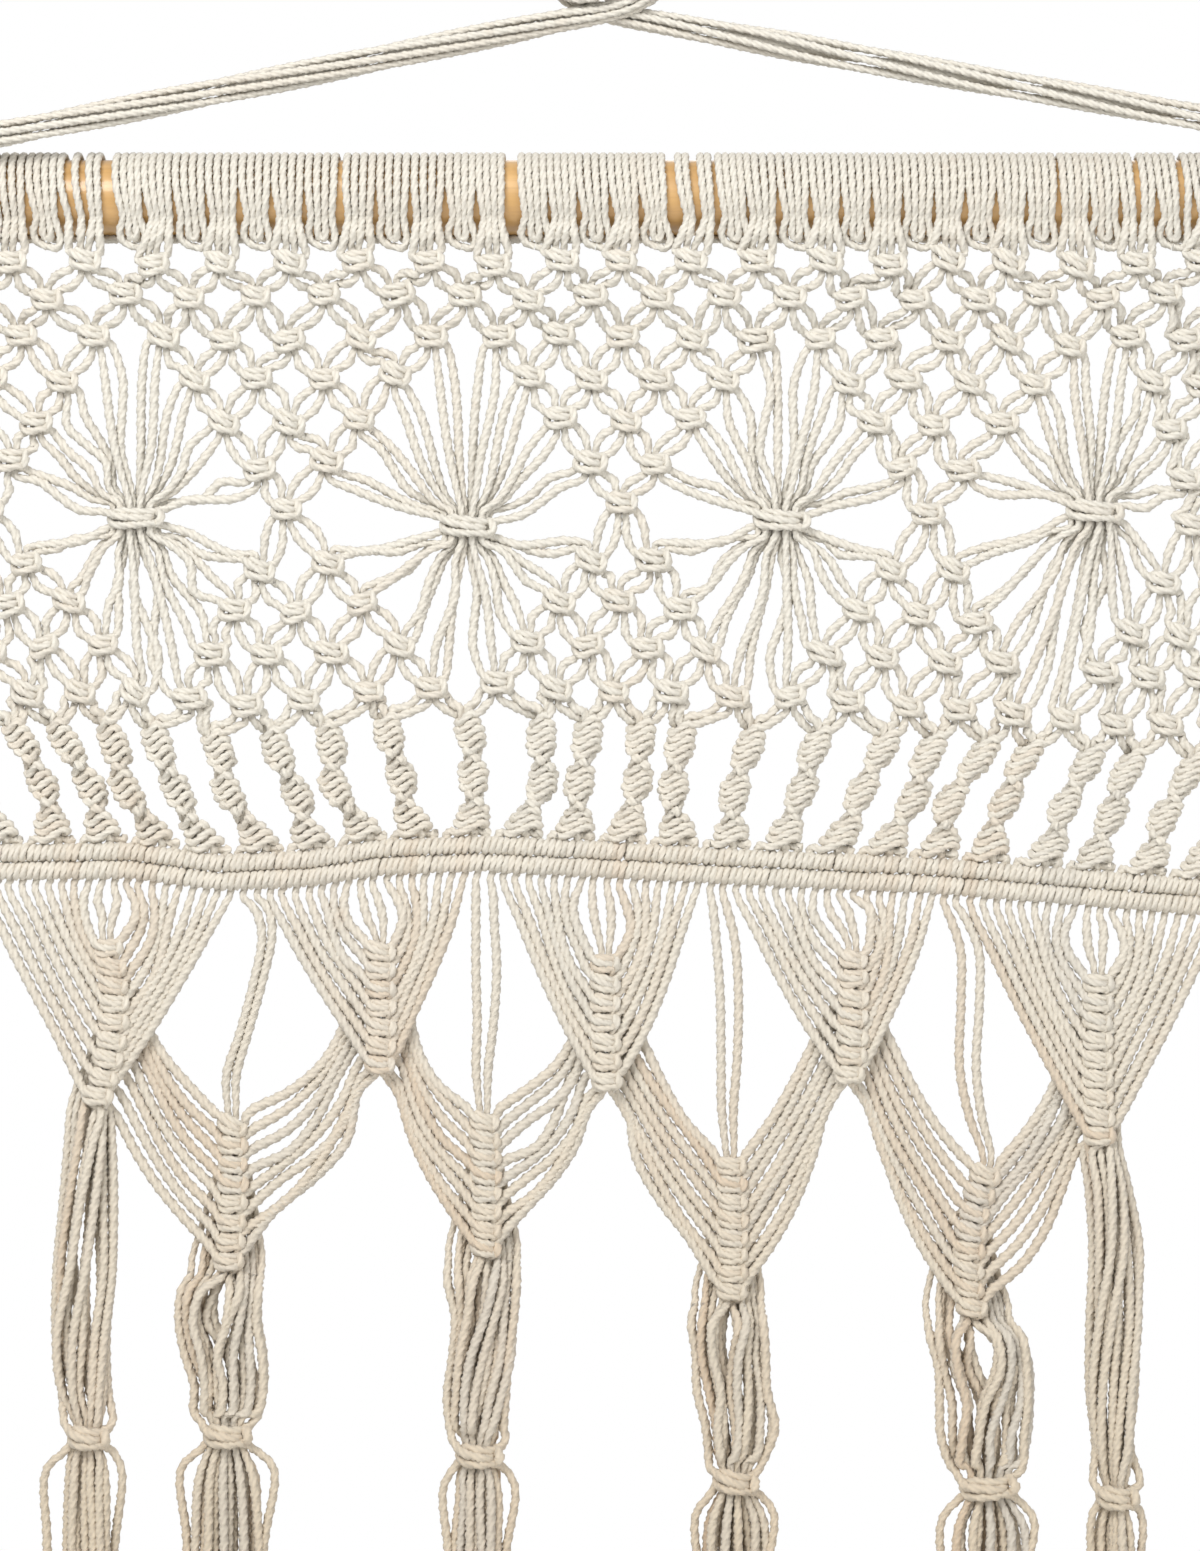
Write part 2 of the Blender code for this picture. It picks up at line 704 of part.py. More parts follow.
def wedge(body, x, y, drop, half_width, half_depth, k, count):
    """One strand's section: a three-sided wedge inside its own share of an ellipse."""
    span = 2 * math.pi / count
    first, last = STRAND_OUTER_STRETCH
    points = ((STRAND_INNER_REACH, (k + 0.5) * span), (1.0, (k + first) * span),
              (1.0, (k + last) * span))
    return [vertex(body, x + half_width * reach * math.cos(angle),
                   y + half_depth * reach * math.sin(angle), drop)
            for reach, angle in points]


def build_tassel(number, row, cotton):
    """A tassel: a ridged tie knot, with the strands above it and the tails under it."""
    (tie_x, tie_drop, from_x, from_drop, count, spread_above, spread_below, spread_end,
     end_drop) = row
    body = bmesh.new()
    rings = []
    for height, swell in TIE_RINGS:
        ring = []
        for k in range(count):
            angle = k * 2 * math.pi / count
            ring.append(vertex(body, tie_x + TIE_HALF_WIDTH * swell * math.cos(angle),
                               TASSEL_Y + TIE_HALF_DEPTH * swell * math.sin(angle),
                               tie_drop + height * TIE_HALF_HEIGHT))
        rings.append(ring)
    loft(body, rings, capped=False)
    top_below, top_half_width, top_depth_share = TASSEL_TOP
    start_drop = from_drop + top_below
    above = (((tie_x + from_x) / 2, (tie_drop + start_drop) / 2, spread_above, 1.0),
             (from_x, start_drop, top_half_width, top_depth_share))
    length = end_drop - tie_drop
    below = ((tie_x, tie_drop + TAIL_SPREAD_SHARE * length, spread_below, 1.0),
             (tie_x, end_drop, spread_end, TAIL_END_DEEPER))
    for ring, stops, edge in ((rings[0], above, -1), (rings[-1], below, 1)):
        middle = vertex(body, tie_x, TASSEL_Y, tie_drop + edge * TIE_HALF_HEIGHT)
        for k in range(count):
            section = [middle, ring[k], ring[(k + 1) % count]]
            for x, drop, half_width, deeper in stops:
                uneven = 0.0
                if drop == end_drop:
                    uneven = TAIL_UNEVENNESS * math.sin(k * TAIL_UNEVEN_TURN + number)
                after = wedge(body, x, TASSEL_Y, drop + uneven, half_width,
                              TASSEL_HALF_DEPTH * deeper, k, count)
                bridge(body, section, after)
                section = after
            body.faces.new(section)
    return finish_object(f"tassel_{number}", body, cotton)


def tube(name, points, radius, material):
    """A tube of BUNDLE_SIDES along points that lie nearly in one upright plane."""
    body = bmesh.new()
    rings = []
    last = len(points) - 1
    places = np.array([(x, y, -drop) for x, y, drop in points])
    for k, place in enumerate(places):
        along = places[min(k + 1, last)] - places[max(k - 1, 0)]
        along /= np.linalg.norm(along)
        side = np.cross(along, (0.0, 1.0, 0.0))
        side /= np.linalg.norm(side)
        up = np.cross(along, side)
        ring = []
        for angle in np.arange(BUNDLE_SIDES) * 2 * math.pi / BUNDLE_SIDES:
            point = place + radius * (math.cos(angle) * side + math.sin(angle) * up)
            ring.append(vertex(body, point[0], point[1], -point[2]))
        rings.append(ring)
    loft(body, rings)
    return finish_object(name, body, material, ROUND_ANGLE)


def lump(name, middle, half_width, half_depth, levels, material):
    """A wrapped knot: a stack of elliptic rings, with a ridge for each turn of the wrapping."""
    x, y, drop = middle
    body = bmesh.new()
    rings = []
    for height, swell in levels:
        rings.append([vertex(body, x + half_width * swell * math.cos(angle),
                             y + half_depth * swell * math.sin(angle), drop - height)
                      for angle in np.arange(LUMP_SIDES) * 2 * math.pi / LUMP_SIDES])
    loft(body, rings)
    return finish_object(name, body, material, ROUND_ANGLE)


def hitch_ring(name, x, cotton):
    """Two turns of the bundle round the rod: a ridged ring with a round bore."""
    body = bmesh.new()
    bore = (ROD_DIAMETER / 2 + PIECE_GAP) / math.cos(math.pi / HITCH_SIDES)
    rings = []
    for along, height in HITCH_SECTION:
        radius = bore + height
        rings.append([vertex(body, x + along, radius * math.cos(angle),
                             radius * math.sin(angle))
                      for angle in np.arange(HITCH_SIDES) * 2 * math.pi / HITCH_SIDES])
    loft(body, rings, capped=False)
    bridge(body, rings[-1], rings[0])
    return finish_object(name, body, cotton, ROUND_ANGLE)


def hanging_loop(cotton):
    """The short loop above the knot: an arch whose inner top is the hanging point."""
    arch = []
    for angle in np.arange(LOOP_STEPS + 1) * math.pi / LOOP_STEPS:
        rise = LOOP_TOP_RISE - LOOP_ARCH_HEIGHT * (1 - math.sin(angle))
        arch.append((-LOOP_HALF_WIDTH * math.cos(angle), 0.0, -rise))
    roots = [(side * LOOP_ROOT_HALF_WIDTH, 0.0, -LOOP_ROOT_RISE) for side in (-1, 1)]
    return tube("hanging_loop", [roots[0]] + arch + [roots[1]], LOOP_TUBE_RADIUS, cotton)


def build_hanging_cord(cotton):
    """The bundle of strings that the rod hangs from: two legs, hitches, knot and loop."""
    guides = [hanging_loop(cotton)]
    guides.append(lump("apex_knot", (0.0, 0.0, -APEX_KNOT_RISE), APEX_KNOT_HALF_WIDTH,
                       APEX_KNOT_HALF_DEPTH, APEX_KNOT_RINGS, cotton))
    legs = []
    for name, side, rise, y in HANGER_LEGS:
        start = (side * HANGER_SPREAD, y, -rise)
        ends = [(-side * past, side * LEG_CROSSING_Y, -top) for past, top in LEG_ENDS]
        legs.append(tube(f"leg_{name}", [start] + ends, BUNDLE_RADIUS, cotton))
        guides.append(hitch_ring(f"hitch_ring_{name}", side * HANGER_SPREAD, cotton))
        guides.append(lump(f"hitch_knot_{name}", start, HITCH_KNOT_HALF_WIDTH,
                           HITCH_KNOT_HALF_DEPTH, HITCH_KNOT_RINGS, cotton))
    cord, other_leg = legs
    cord.name = "hanging_cord"
    guides.append(other_leg)
    group = bpy.data.collections.new("hanging_cord_parts")
    bpy.context.scene.collection.children.link(group)
    for guide in guides:
        guide.hide_render = True
        guide.display_type = "WIRE"
        bpy.context.scene.collection.objects.unlink(guide)
        group.objects.link(guide)
    union = cord.modifiers.new("union", "BOOLEAN")
    union.operation = "UNION"
    union.solver = "EXACT"
    union.operand_type = "COLLECTION"
    union.collection = group
    return cord


def build():
    """Make every piece of the wall hanging."""
    clear_scene()
    cotton = make_material("cotton", COTTON, 0.9)
    wood = make_material("wood", WOOD, 0.35)
    build_rod(wood)
    build_mounting_knots(cotton)
    build_hanging_cord(cotton)
    build_net(cotton)
    build_leaves(cotton)
    for number, row in enumerate(TASSELS, start=1):
        build_tassel(number, row, cotton)


build()
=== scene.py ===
"""Macrame wall hanging on a wooden rod: every cotton string with its plies, and the rod.

Places are in millimetres from the middle of the rod's axis: x runs to the right, y away from
the front and z up, so a drop is a negative z. The frame's origin lies ROD_DROP above that axis,
and MM turns millimetres into its metres. Each of the 96 strings is one route, a smooth curve
from the rod to the end of its tassel, and its knots are short tables of points that the route
passes through. Strings are then cut into pieces, such as the net or a tassel, at the marks that
the routes carry.
"""
import math

import bpy
import numpy as np
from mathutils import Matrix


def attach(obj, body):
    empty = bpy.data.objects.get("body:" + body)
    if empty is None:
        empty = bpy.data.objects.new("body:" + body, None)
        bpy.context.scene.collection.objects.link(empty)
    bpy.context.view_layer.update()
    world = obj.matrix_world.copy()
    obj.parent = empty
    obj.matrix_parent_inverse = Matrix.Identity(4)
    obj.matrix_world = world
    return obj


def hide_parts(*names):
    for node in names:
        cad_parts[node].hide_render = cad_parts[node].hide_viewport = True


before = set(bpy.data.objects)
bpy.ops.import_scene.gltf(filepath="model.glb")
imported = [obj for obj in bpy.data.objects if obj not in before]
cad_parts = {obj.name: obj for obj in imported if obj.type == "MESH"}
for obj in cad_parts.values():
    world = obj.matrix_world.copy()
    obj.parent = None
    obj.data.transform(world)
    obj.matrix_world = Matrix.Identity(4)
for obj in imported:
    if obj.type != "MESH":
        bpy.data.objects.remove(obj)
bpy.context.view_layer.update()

MM = 0.001
ROD_DROP = 101.0
ROD_RADIUS = 12.5
ROD_HALF_LENGTH = 300.0

# A unit is four strands, from two strings folded over the rod.
UNITS = 24
STRANDS = 96
# The drop of each star, by the unit that its middle is at.
STAR_DROPS = {4: 107.0, 9: 109.7, 14: 107.7, 19: 104.7}

# X of some units at the rod, at the waist of the net and at the top of the sinnets.
UNIT_COLUMNS = np.array((
    # unit, at_rod, at_waist, at_sinnets
    (-0.5, -268.0, -244.0, -226.0),
    (1.5, -224.0, -206.0, -192.0),
    (4.0, -161.0, -158.0, -148.0),
    (6.5, -106.0, -107.0, -101.0),
    (9.0, -48.0, -47.0, -47.0),
    (11.5, 5.0, 5.0, 2.0),
    (14.0, 61.0, 58.0, 48.0),
    (16.5, 113.0, 107.0, 99.0),
    (19.0, 164.0, 162.0, 141.0),
    (21.5, 219.0, 195.0, 184.0),
    (23.5, 263.0, 235.0, 218.0),
))

# Rows of the net's square knots. A row takes a share of the band's wave, and has no knots
# within star_half_width units of a star.
KNOT_ROWS = (
    # row, drop, wave_share, star_half_width
    (1, 22.7, 0.0, -1.0),
    (2, 33.7, 0.0, -1.0),
    (3, 47.0, 0.1, -1.0),
    (4, 60.7, 0.2, 0.0),
    (5, 74.7, 0.3, 0.5),
    (6, 89.3, 0.4, 1.0),
    (7, 103.7, 0.5, 1.5),
    (8, 122.3, 0.7, 1.0),
    (9, 137.0, 0.8, 0.5),
    (10, 151.3, 0.9, 0.0),
    (11, 166.7, 1.0, -1.0),
)
WAIST_DROP = 103.7
SINNET_TOP_DROP = 178.3

# The middle line of the two hitched bars, and what it wavers about.
BAND_LINE = np.array((
    # x, drop
    (-210.0, 221.5),
    (-160.0, 220.8),
    (-130.0, 224.8),
    (-100.0, 223.5),
    (-75.0, 219.7),
    (-43.0, 218.5),
    (-5.0, 220.3),
    (40.0, 222.7),
    (108.0, 225.8),
    (148.0, 229.0),
    (205.0, 233.5),
))
BAND_MEAN_DROP = 222.7
BAND_MIDDLE_X = -2.7
STRAND_PITCH = 4.33

# The column of each leaf. Each of its levels takes in one strand from either side.
UPPER_LEAVES = (
    # top_x, top_drop, bottom_x, bottom_drop, side_strands, bend
    (-167.3, 247.0, -171.3, 302.3, 9, 4.5),
    (-76.3, 248.0, -76.3, 292.0, 7, 0.6),
    (-1.0, 252.0, -0.3, 297.7, 7, -0.5),
    (81.3, 250.7, 80.0, 295.3, 7, 0.8),
    (163.3, 258.7, 163.7, 315.7, 9, -0.8),
)
LOWER_LEAVES = (
    # top_x, top_drop, bottom_x, bottom_drop, side_strands, bend
    (-125.7, 306.3, -127.0, 358.0, 8, 0.8),
    (-41.7, 305.0, -41.0, 353.3, 8, 0.5),
    (40.7, 320.0, 41.0, 367.7, 8, 0.6),
    (126.7, 322.7, 121.7, 373.3, 8, -3.6),
)
# The lower leaves hang behind the upper ones.
LOWER_LEAF_Y = 3.6

# How slack the strings of each upper leaf hang, on its left and its right.
LEAF_SLACK = ((0.5, 1.0), (0.7, 0.9), (0.8, 0.9), (0.7, 0.8), (0.9, 0.8))

# Sideways bends of the two strings between upper leaves, at shares of their way down.
PAIR_SHARES = (0.07, 0.19, 0.4, 0.65, 0.85)
PAIR_BENDS = ((4.8, 7.2, 5.4, 1.8, -1.0), (0.2, 0.4, 1.0, 0.6, -0.4),
              (1.0, 2.2, 2.4, 1.5, 0.0), (2.2, 4.6, 1.8, -1.8, -1.8))
# How far each pair's two strings stand apart.
PAIR_GAPS = (-0.4, 1.3, 1.4, 1.3)
# How far each lower leaf's left and right strings sag.
LOWER_SLACK = ((3.2, 6.0), (4.0, 5.0), (1.4, 1.2), (2.4, 3.0))
# How much of that slack the outermost string of a side takes.
LOWER_LOOSE = (0.8, 0.8, 3.0, 1.5)

# Where each tassel is tied, half its width above the tie, below it and at its end, and the
# drop of its end.
TASSELS = (
    # tie_x, tie_drop, spread_above, spread_below, spread_end, end
    (-173.3, 413.3, 9.6, 8.2, 10.5, 612.0),
    (-127.0, 412.7, 12.8, 12.0, 15.0, 618.0),
    (-43.0, 419.3, 9.6, 8.2, 13.0, 615.0),
    (42.3, 428.0, 11.2, 11.2, 14.0, 620.0),
    (126.7, 430.0, 15.0, 13.6, 15.5, 616.0),
    (169.7, 433.3, 7.8, 7.4, 9.5, 614.0),
)
# For each tassel: the tie's width, its string loops' bulge, the twist of the bundle above the
# tie in degrees, its sideways sway and bow, and how far its middle strings part below the leaf.
TASSEL_SHAPES = (
    (15.0, 2.4, 125.0, 0.8, -2.8, 0.0), (17.0, 3.0, 70.0, -1.8, -0.8, 0.5),
    (16.5, 3.4, 100.0, 0.8, 0.0, 0.1), (16.0, 1.4, 45.0, -1.4, 0.8, 0.35),
    (20.0, 1.4, 55.0, 1.0, 2.4, 0.5), (14.5, 1.0, 150.0, 1.8, 2.8, 0.0),
)
# Half the width over which each tassel's strings leave the back of its leaf.
TASSEL_ROOTS = (10.0, 12.8, 12.5, 12.0, 15.0, 8.8)
TASSEL_Y = 2.0
# Strands that a lower leaf takes in from each side, besides the pair at its top, and strands
# in a tassel under a lower leaf and in each of the two at the ends.
LOWER_JOINERS = 8
MIDDLE_COUNT = 18
END_COUNT = 12

# A string's half thickness, from the thickest place down. Its plies open where it hangs free.
# A knot pulls its workers, which go round the others, and squeezes its fillers more.
LEAF_STRING = 1.86
TIE_WORKER = 1.75
FREE = 1.7
BAR_ENTRY = 1.6
TIE_END = 1.5
LEAF_WORKER = 1.48
KNOTTED = 1.45
SINNET_WORKER = 1.42
BIGHT = 1.4
ROUND_ROD = 1.38
TIE_FILLER = 1.35
HITCHED = 1.34
CORD_STRING = 1.32
FILLER = 1.3
LEAF_FILLER = 1.25
CORD_WRAP = 1.24
BAR_CORE = 1.2
LEAF_CORE = 1.15

# The length in which a string's three plies go once round, and its section: six corners that
# stand out on a ply and lie back in a groove by turns.
LAY = 13.0
SECTION_SIDES = 6
PLY_CREST = 1.06
PLY_GROOVE = 0.91
# Rings of that section along a string, and points of its smooth curve for each given one.
RING_STEP = 1.75
RINGS_PER_RADIAN = 0.6
CURVE_STEPS = 8

rng = np.random.default_rng(11)


def unit_x(unit, drop):
    """X of a unit of the net at a drop: straight lines from its first row to its waist, and
    on to the top of the sinnets.
    """
    levels = [np.interp(unit, UNIT_COLUMNS[:, 0], UNIT_COLUMNS[:, k]) for k in (1, 2, 3)]
    return float(np.interp(drop, (KNOT_ROWS[0][1], WAIST_DROP, SINNET_TOP_DROP), levels))


def band_drop(x):
    """Drop of the hitched band's middle line at x."""
    return float(np.interp(x, BAND_LINE[:, 0], BAND_LINE[:, 1]))


def net_y(drop):
    """Depth of the net: in front below the rod, then settling under the rod's middle."""
    return float(np.interp(drop, (20.0, 50.0), (-10.0, 0.0)))


def strand_x(strand):
    """Where a strand crosses the hitched band."""
    return BAND_MIDDLE_X + (strand + 0.5 - STRANDS / 2) * STRAND_PITCH


class Route:
    """The points that one string passes, each with its half thickness, and named marks.

    Across is its place in its tassel, from -1 at the left to 1 at the right.
    """

    def __init__(self):
        self.points = []
        self.marks = {}
        self.across = 0.0

    def through(self, places, thickness=FREE):
        """Add places, an array or list of x, y, z."""
        for place in np.atleast_2d(np.asarray(places, dtype=float)):
            self.points.append((*place, thickness))

    def mark(self, name):
        """Name the last point, as a place to cut the string into pieces."""
        self.marks[name] = len(self.points) - 1


class Knot:
    """A square knot's place: its middle, its size against the template, its tilt and its
    pull, by which each of its points drops for each millimetre to the right.
    """

    def __init__(self, place, size, tilt, pull=0.0):
        self.place = np.asarray(place, dtype=float)
        self.size = np.asarray(size, dtype=float)
        self.tilt = tilt
        self.pull = pull

    def put(self, template):
        """Template points scaled, sheared by the pull, turned by the tilt, and moved."""
        points = np.asarray(template, dtype=float) * self.size
        points[:, 2] -= self.pull * points[:, 0] * np.exp(-(points[:, 0] / 5.0) ** 2)
        cosine, sine = math.cos(self.tilt), math.sin(self.tilt)
        x = points[:, 0] * cosine - points[:, 2] * sine
        z = points[:, 0] * sine + points[:, 2] * cosine
        return np.stack((x, points[:, 1], z), axis=1) + self.place


# A square knot, 10 mm wide. The right worker makes both bars across the front. The left one
# goes over it, twice behind the two fillers, and makes the bump on the right.
LEFT_WORKER = (
    (-5.4, -0.6, 2.7), (-4.2, -1.9, 1.9), (-2.9, -3.1, 1.0), (-1.0, -3.5, 0.4),
    (1.0, -3.3, 0.0), (2.6, -2.2, 0.0), (3.0, 0.0, 0.9), (3.1, 0.7, 2.1),
    (3.9, -0.9, 2.3), (4.6, -2.3, 1.1), (4.7, -2.7, -0.2), (4.1, -2.0, -1.5),
    (2.8, -0.1, -2.2), (1.0, 2.2, -1.6), (-1.8, 2.2, -1.7), (-3.9, 0.6, -1.8),
    (-5.4, -0.2, -2.8),
)
LEFT_FILLER = ((-1.4, -0.2, 4.4), (-1.15, 0.0, 3.0), (-1.0, 0.1, 1.4), (-1.0, 0.1, -1.4),
               (-1.15, 0.0, -3.0), (-1.4, -0.2, -4.4))
RIGHT_FILLER = tuple((-x, y, z) for x, y, z in LEFT_FILLER)
RIGHT_WORKER = (
    (5.4, -0.4, 2.8), (4.0, -1.0, 2.1), (1.8, -2.4, 1.9), (-0.8, -2.8, 2.2),
    (-2.8, -1.8, 2.5), (-4.2, 0.2, 0.9), (-3.9, -1.2, -1.3), (-2.0, -2.8, -2.0),
    (0.7, -3.1, -1.9), (3.0, -2.2, -1.7), (5.3, 0.1, -2.7),
)
SQUARE_KNOT = (LEFT_WORKER, LEFT_FILLER, RIGHT_FILLER, RIGHT_WORKER)


def band_wave(x, share):
    """How far a row follows the band's wave."""
    return share * (band_drop(x) - BAND_MEAN_DROP)


# A net knot's size against the template, and the turn that all of them share, in degrees.
NET_KNOT = (0.96, 1.12, 1.14)
KNOT_SLANT = 3.0


def place_net_knots():
    """Every square knot of the net by row and unit, a little unevenly tied."""
    knots = {}
    for row, drop, share, star_half_width in KNOT_ROWS:
        units = np.arange(UNITS) if row % 2 == 0 else np.arange(UNITS - 1) + 0.5
        for unit in units:
            shift_x, shift_z, turn, grow = rng.normal(size=4)
            if any(abs(unit - star) <= star_half_width for star in STAR_DROPS):
                continue
            x = unit_x(unit, drop)
            z = -(drop + band_wave(x, share))
            knots[row, float(unit)] = Knot(
                (x + 0.6 * shift_x, net_y(drop), z + 0.7 * shift_z),
                np.array(NET_KNOT) * (1.0 + 0.05 * grow),
                math.radians(KNOT_SLANT + 8.0 * turn), 0.14 + 0.2 * rng.normal())
    return knots


# Where wood shows between the turns round the rod.
BARE_RINGS = (
    # x, width
    (-178.2, 2.3), (-173.7, 2.0), (-168.5, 3.6), (-88.8, 1.2), (-32.2, 4.3), (22.4, 3.3),
    (26.6, 2.7), (33.6, 1.3), (149.0, 0.8), (174.2, 1.9), (188.2, 1.9),
)
BARE_REACH = 22.0
# For each of a unit's four strands, its place among the unit's eight turns on its way up the
# rod's front and on its way down.
UP_SLOTS = (3, 2, 5, 4)
DOWN_SLOTS = (0, 1, 6, 7)
# Height of a string's middle above the wood.
SEAT = 1.33
# Angles of a turn's points, in degrees from the front over the top.
WIND_ANGLES = (-34, -14, 12, 40, 68, 96, 124, 152, 180, 208, 234)


def rod_lean(x):
    """How far the turns slope to the right on their way down the rod's front."""
    return 0.9 + 1.1 * math.sin(x / 31.0 + 0.9)


def slot_x(unit, slot):
    """Middle of one of the eight turns round the rod that a unit takes up. Beside each bare
    ring of wood the turns are pushed away from it, less and less for BARE_REACH.
    """
    x = unit_x(unit - 0.5 + (slot + 0.5) / 8.0, 0.0)
    return x + sum(0.5 * math.copysign(width, x - ring) * max(0.0, 1 - abs(x - ring) / BARE_REACH)
                   for ring, width in BARE_RINGS)


def on_rod(x, angle, height):
    """A point round the rod, its angle in degrees from the front over the top."""
    turn = math.radians(angle)
    radius = ROD_RADIUS + height
    return (x, -radius * math.cos(turn), radius * math.sin(turn))


def mount_on_rod(route, unit, member):
    """A half lark's head and a half hitch: from the middle of the bight that lies under the
    rod, up the front, over and down the back, round under the bight, and back over the top.
    """
    side = -1 if member < 2 else 1
    outer = member in (1, 2)
    up, down = slot_x(unit, UP_SLOTS[member]), slot_x(unit, DOWN_SLOTS[member])
    middle = (slot_x(unit, 3) + slot_x(unit, 4)) / 2 + rod_lean(up)
    if outer:
        bight = ((0.0, -8.3, -17.1), (3.1, -8.5, -16.7), (4.5, -9.5, -14.2))
    else:
        bight = ((0.0, -9.4, -14.6), (0.9, -9.6, -14.3), (1.3, -10.4, -12.3))
    route.through([(middle + side * x, y, z - 0.3 * side * x) for x, y, z in bight], BIGHT)

    pinch = side * (0.9 if outer else 0.32) * (1.0 + 0.35 * math.sin(2.3 * unit))

    def wind(x, angles, aside):
        """Points round the rod, leaning down its front and drawn aside near the bottom."""
        for angle in angles:
            leaning = min(1.0, max(0.0, (30.0 - angle) / 75.0))
            drawn = min(1.0, max(0.0, (12.0 - angle) / 48.0))
            route.through(on_rod(x + leaning * rod_lean(x) + drawn * aside, angle, SEAT),
                          ROUND_ROD)

    wind(up, WIND_ANGLES, -pinch)
    bottom = 262.0 if outer else 274.0
    route.through([on_rod(up + (down - up) * share, bottom - dip, BIGHT)
                   for share, dip in ((0.25, 6.0), (0.5, 0.0), (0.75, 6.0))], FILLER)
    wind(down, (*WIND_ANGLES[:0:-1], -36), pinch)


def net_visits(strand, knots):
    """The knots that a strand runs through, top to bottom, as (knot, role) pairs."""
    visits = []
    passed = set()
    for row, *_ in KNOT_ROWS:
        first = strand if row % 2 == 0 else strand - 2
        unit, role = first // 4, first % 4
        place = float(unit) if row % 2 == 0 else unit + 0.5
        if (row, place) in knots:
            visits.append((knots[row, place], role))
            continue
        for star in STAR_DROPS:
            member = strand - (4 * star - 6)
            if 0 <= member < STAR_COUNT and row in STAR_ROWS and star not in passed:
                passed.add(star)
                visits.append((star, member))
    return visits


# A star gathers sixteen strands: the outer two tie the rest, which lie side by side over its
# width, three deep at STAR_LAYERS. A gathered strand is straight for STAR_HALF_HEIGHT up and
# down, and then fans out for STAR_SHEAF. Stars stand in for the knots of STAR_ROWS.
STAR_COUNT = 16
STAR_ROWS = range(4, 11)
STAR_KNOT = (1.9, 1.45, 1.05)
STAR_FILLER_HALF_WIDTH = 8.3
STAR_LAYERS = (-2.0, 0.1, 2.2)
STAR_HALF_HEIGHT = 5.0
STAR_SHEAF = 7.0
# How much further than its angle to the next knot a strand fans out, by that angle.
STAR_PULL = ((0.1, 0.3, 0.7, 1.2, 1.5), (1.2, 1.7, 1.35, 1.12, 1.02))


def star_middle(star):
    """Middle of a star's gathering knot."""
    drop = STAR_DROPS[star]
    return np.array((unit_x(star, drop), 0.0, -drop))


def star_points(star, member, before, after, knot):
    """A string's points through a star, in a sheaf that opens on its way to other knots."""
    if member in (0, STAR_COUNT - 1):
        return knot.put(LEFT_WORKER if member == 0 else RIGHT_WORKER)
    x = STAR_FILLER_HALF_WIDTH * (2.0 * member / (STAR_COUNT - 1) - 1.0)
    y = STAR_LAYERS[member % len(STAR_LAYERS)]
    inner = [star_middle(star) + (x * wider, y * flatter, height * STAR_HALF_HEIGHT)
             for wider, flatter, height in ((1.06, 0.8, 1.0), (1.0, 1.0, 0.35),
                                            (1.0, 1.0, -0.35), (1.06, 0.8, -1.0))]
    ends = []
    for place, target, up in ((inner[0], before, 1.0), (inner[-1], after, -1.0)):
        way = target - place
        angle = math.atan2(way[0], up * way[2])
        pulled = angle * np.interp(abs(angle), *STAR_PULL)
        ends.append(place + STAR_SHEAF * np.array((math.sin(pulled), 0.0,
                                                   up * math.cos(pulled))))
    return np.array((ends[0], *inner, ends[1]))


def leg(route, start, end, bow, wave=0.0, droop=0.0, thickness=FREE):
    """Points between two places: the straight line, moved across it by bow times one half
    wave and by wave times a full one, and down by droop. Across is to the left of the way
    down, seen from the front, so it is up and right on a way that goes down and right.
    """
    start = np.asarray(start, dtype=float)
    way = np.asarray(end, dtype=float) - start
    length = np.linalg.norm(way)
    across = np.array((-way[2], 0.0, way[0])) / length
    count = 1 if length < 15.0 else 2 if length < 28.0 else 3
    for k in range(count):
        share = (k + 1) / (count + 1)
        arch = math.sin(math.pi * share)
        aside = bow * arch + wave * math.sin(2 * math.pi * share)
        place = start + way * share + across * aside
        route.through(place + (0.0, rng.normal() * 0.25, -droop * arch), thickness)


# How far the two outermost strands of each edge bow out between rows, the outer one first, and
# the heights at which the net is cut into pieces.
EDGE_BOWS = (3.4, 1.2)
NET_CUTS = (("net_high", -68.0), ("net_low", -118.0))


def knit_net(route, strand, knots, star_knots):
    """Run a string from knot to knot down the net."""
    visits = net_visits(strand, knots)
    spots = [target.put(SQUARE_KNOT[role]) if isinstance(target, Knot) else None
             for target, role in visits]
    for k, (target, role) in enumerate(visits):
        if spots[k] is None:
            spots[k] = star_points(target, role, spots[k - 1][-1], spots[k + 1][0],
                                   star_knots[target])
    edge = -1.0 if strand < 2 else 1.0 if strand >= STRANDS - 2 else 0.0
    outward = 1.0
    after_star = False
    for k, ((target, role), spot) in enumerate(zip(visits, spots)):
        start = np.array(route.points[-1][:3])
        to_star = not isinstance(target, Knot)
        way = spot[0] - start
        side = math.copysign(1.0, way[0])
        if k == 0:
            route.through((start * (0.6, 1, 0.5) + spot[0] * (0.4, 0, 0.5),))
            route.mark("net_top")
        elif edge and abs(way[0]) < 7.0:
            leg(route, start, spot[0], edge * EDGE_BOWS[0 if strand in (0, STRANDS - 1) else 1])
        elif to_star or after_star:
            bow = outward * side * rng.uniform(0.5, 1.1)
            droop = rng.uniform(0.02, 0.09) * abs(way[0]) if after_star else 0.0
            leg(route, start, spot[0], bow, rng.normal() * 1.2, droop)
        else:
            leg(route, start, spot[0], outward * side * rng.uniform(0.7, 1.5))
        worker = role in (0, STAR_COUNT - 1 if to_star else 3)
        route.through(spot, KNOTTED if worker else FILLER)
        after_star = to_star
        outward = 1.0 if (role % 2 if to_star else worker) else -1.0
        for name, height in NET_CUTS:
            if name not in route.marks and route.points[-1][2] < height:
                route.mark(name)


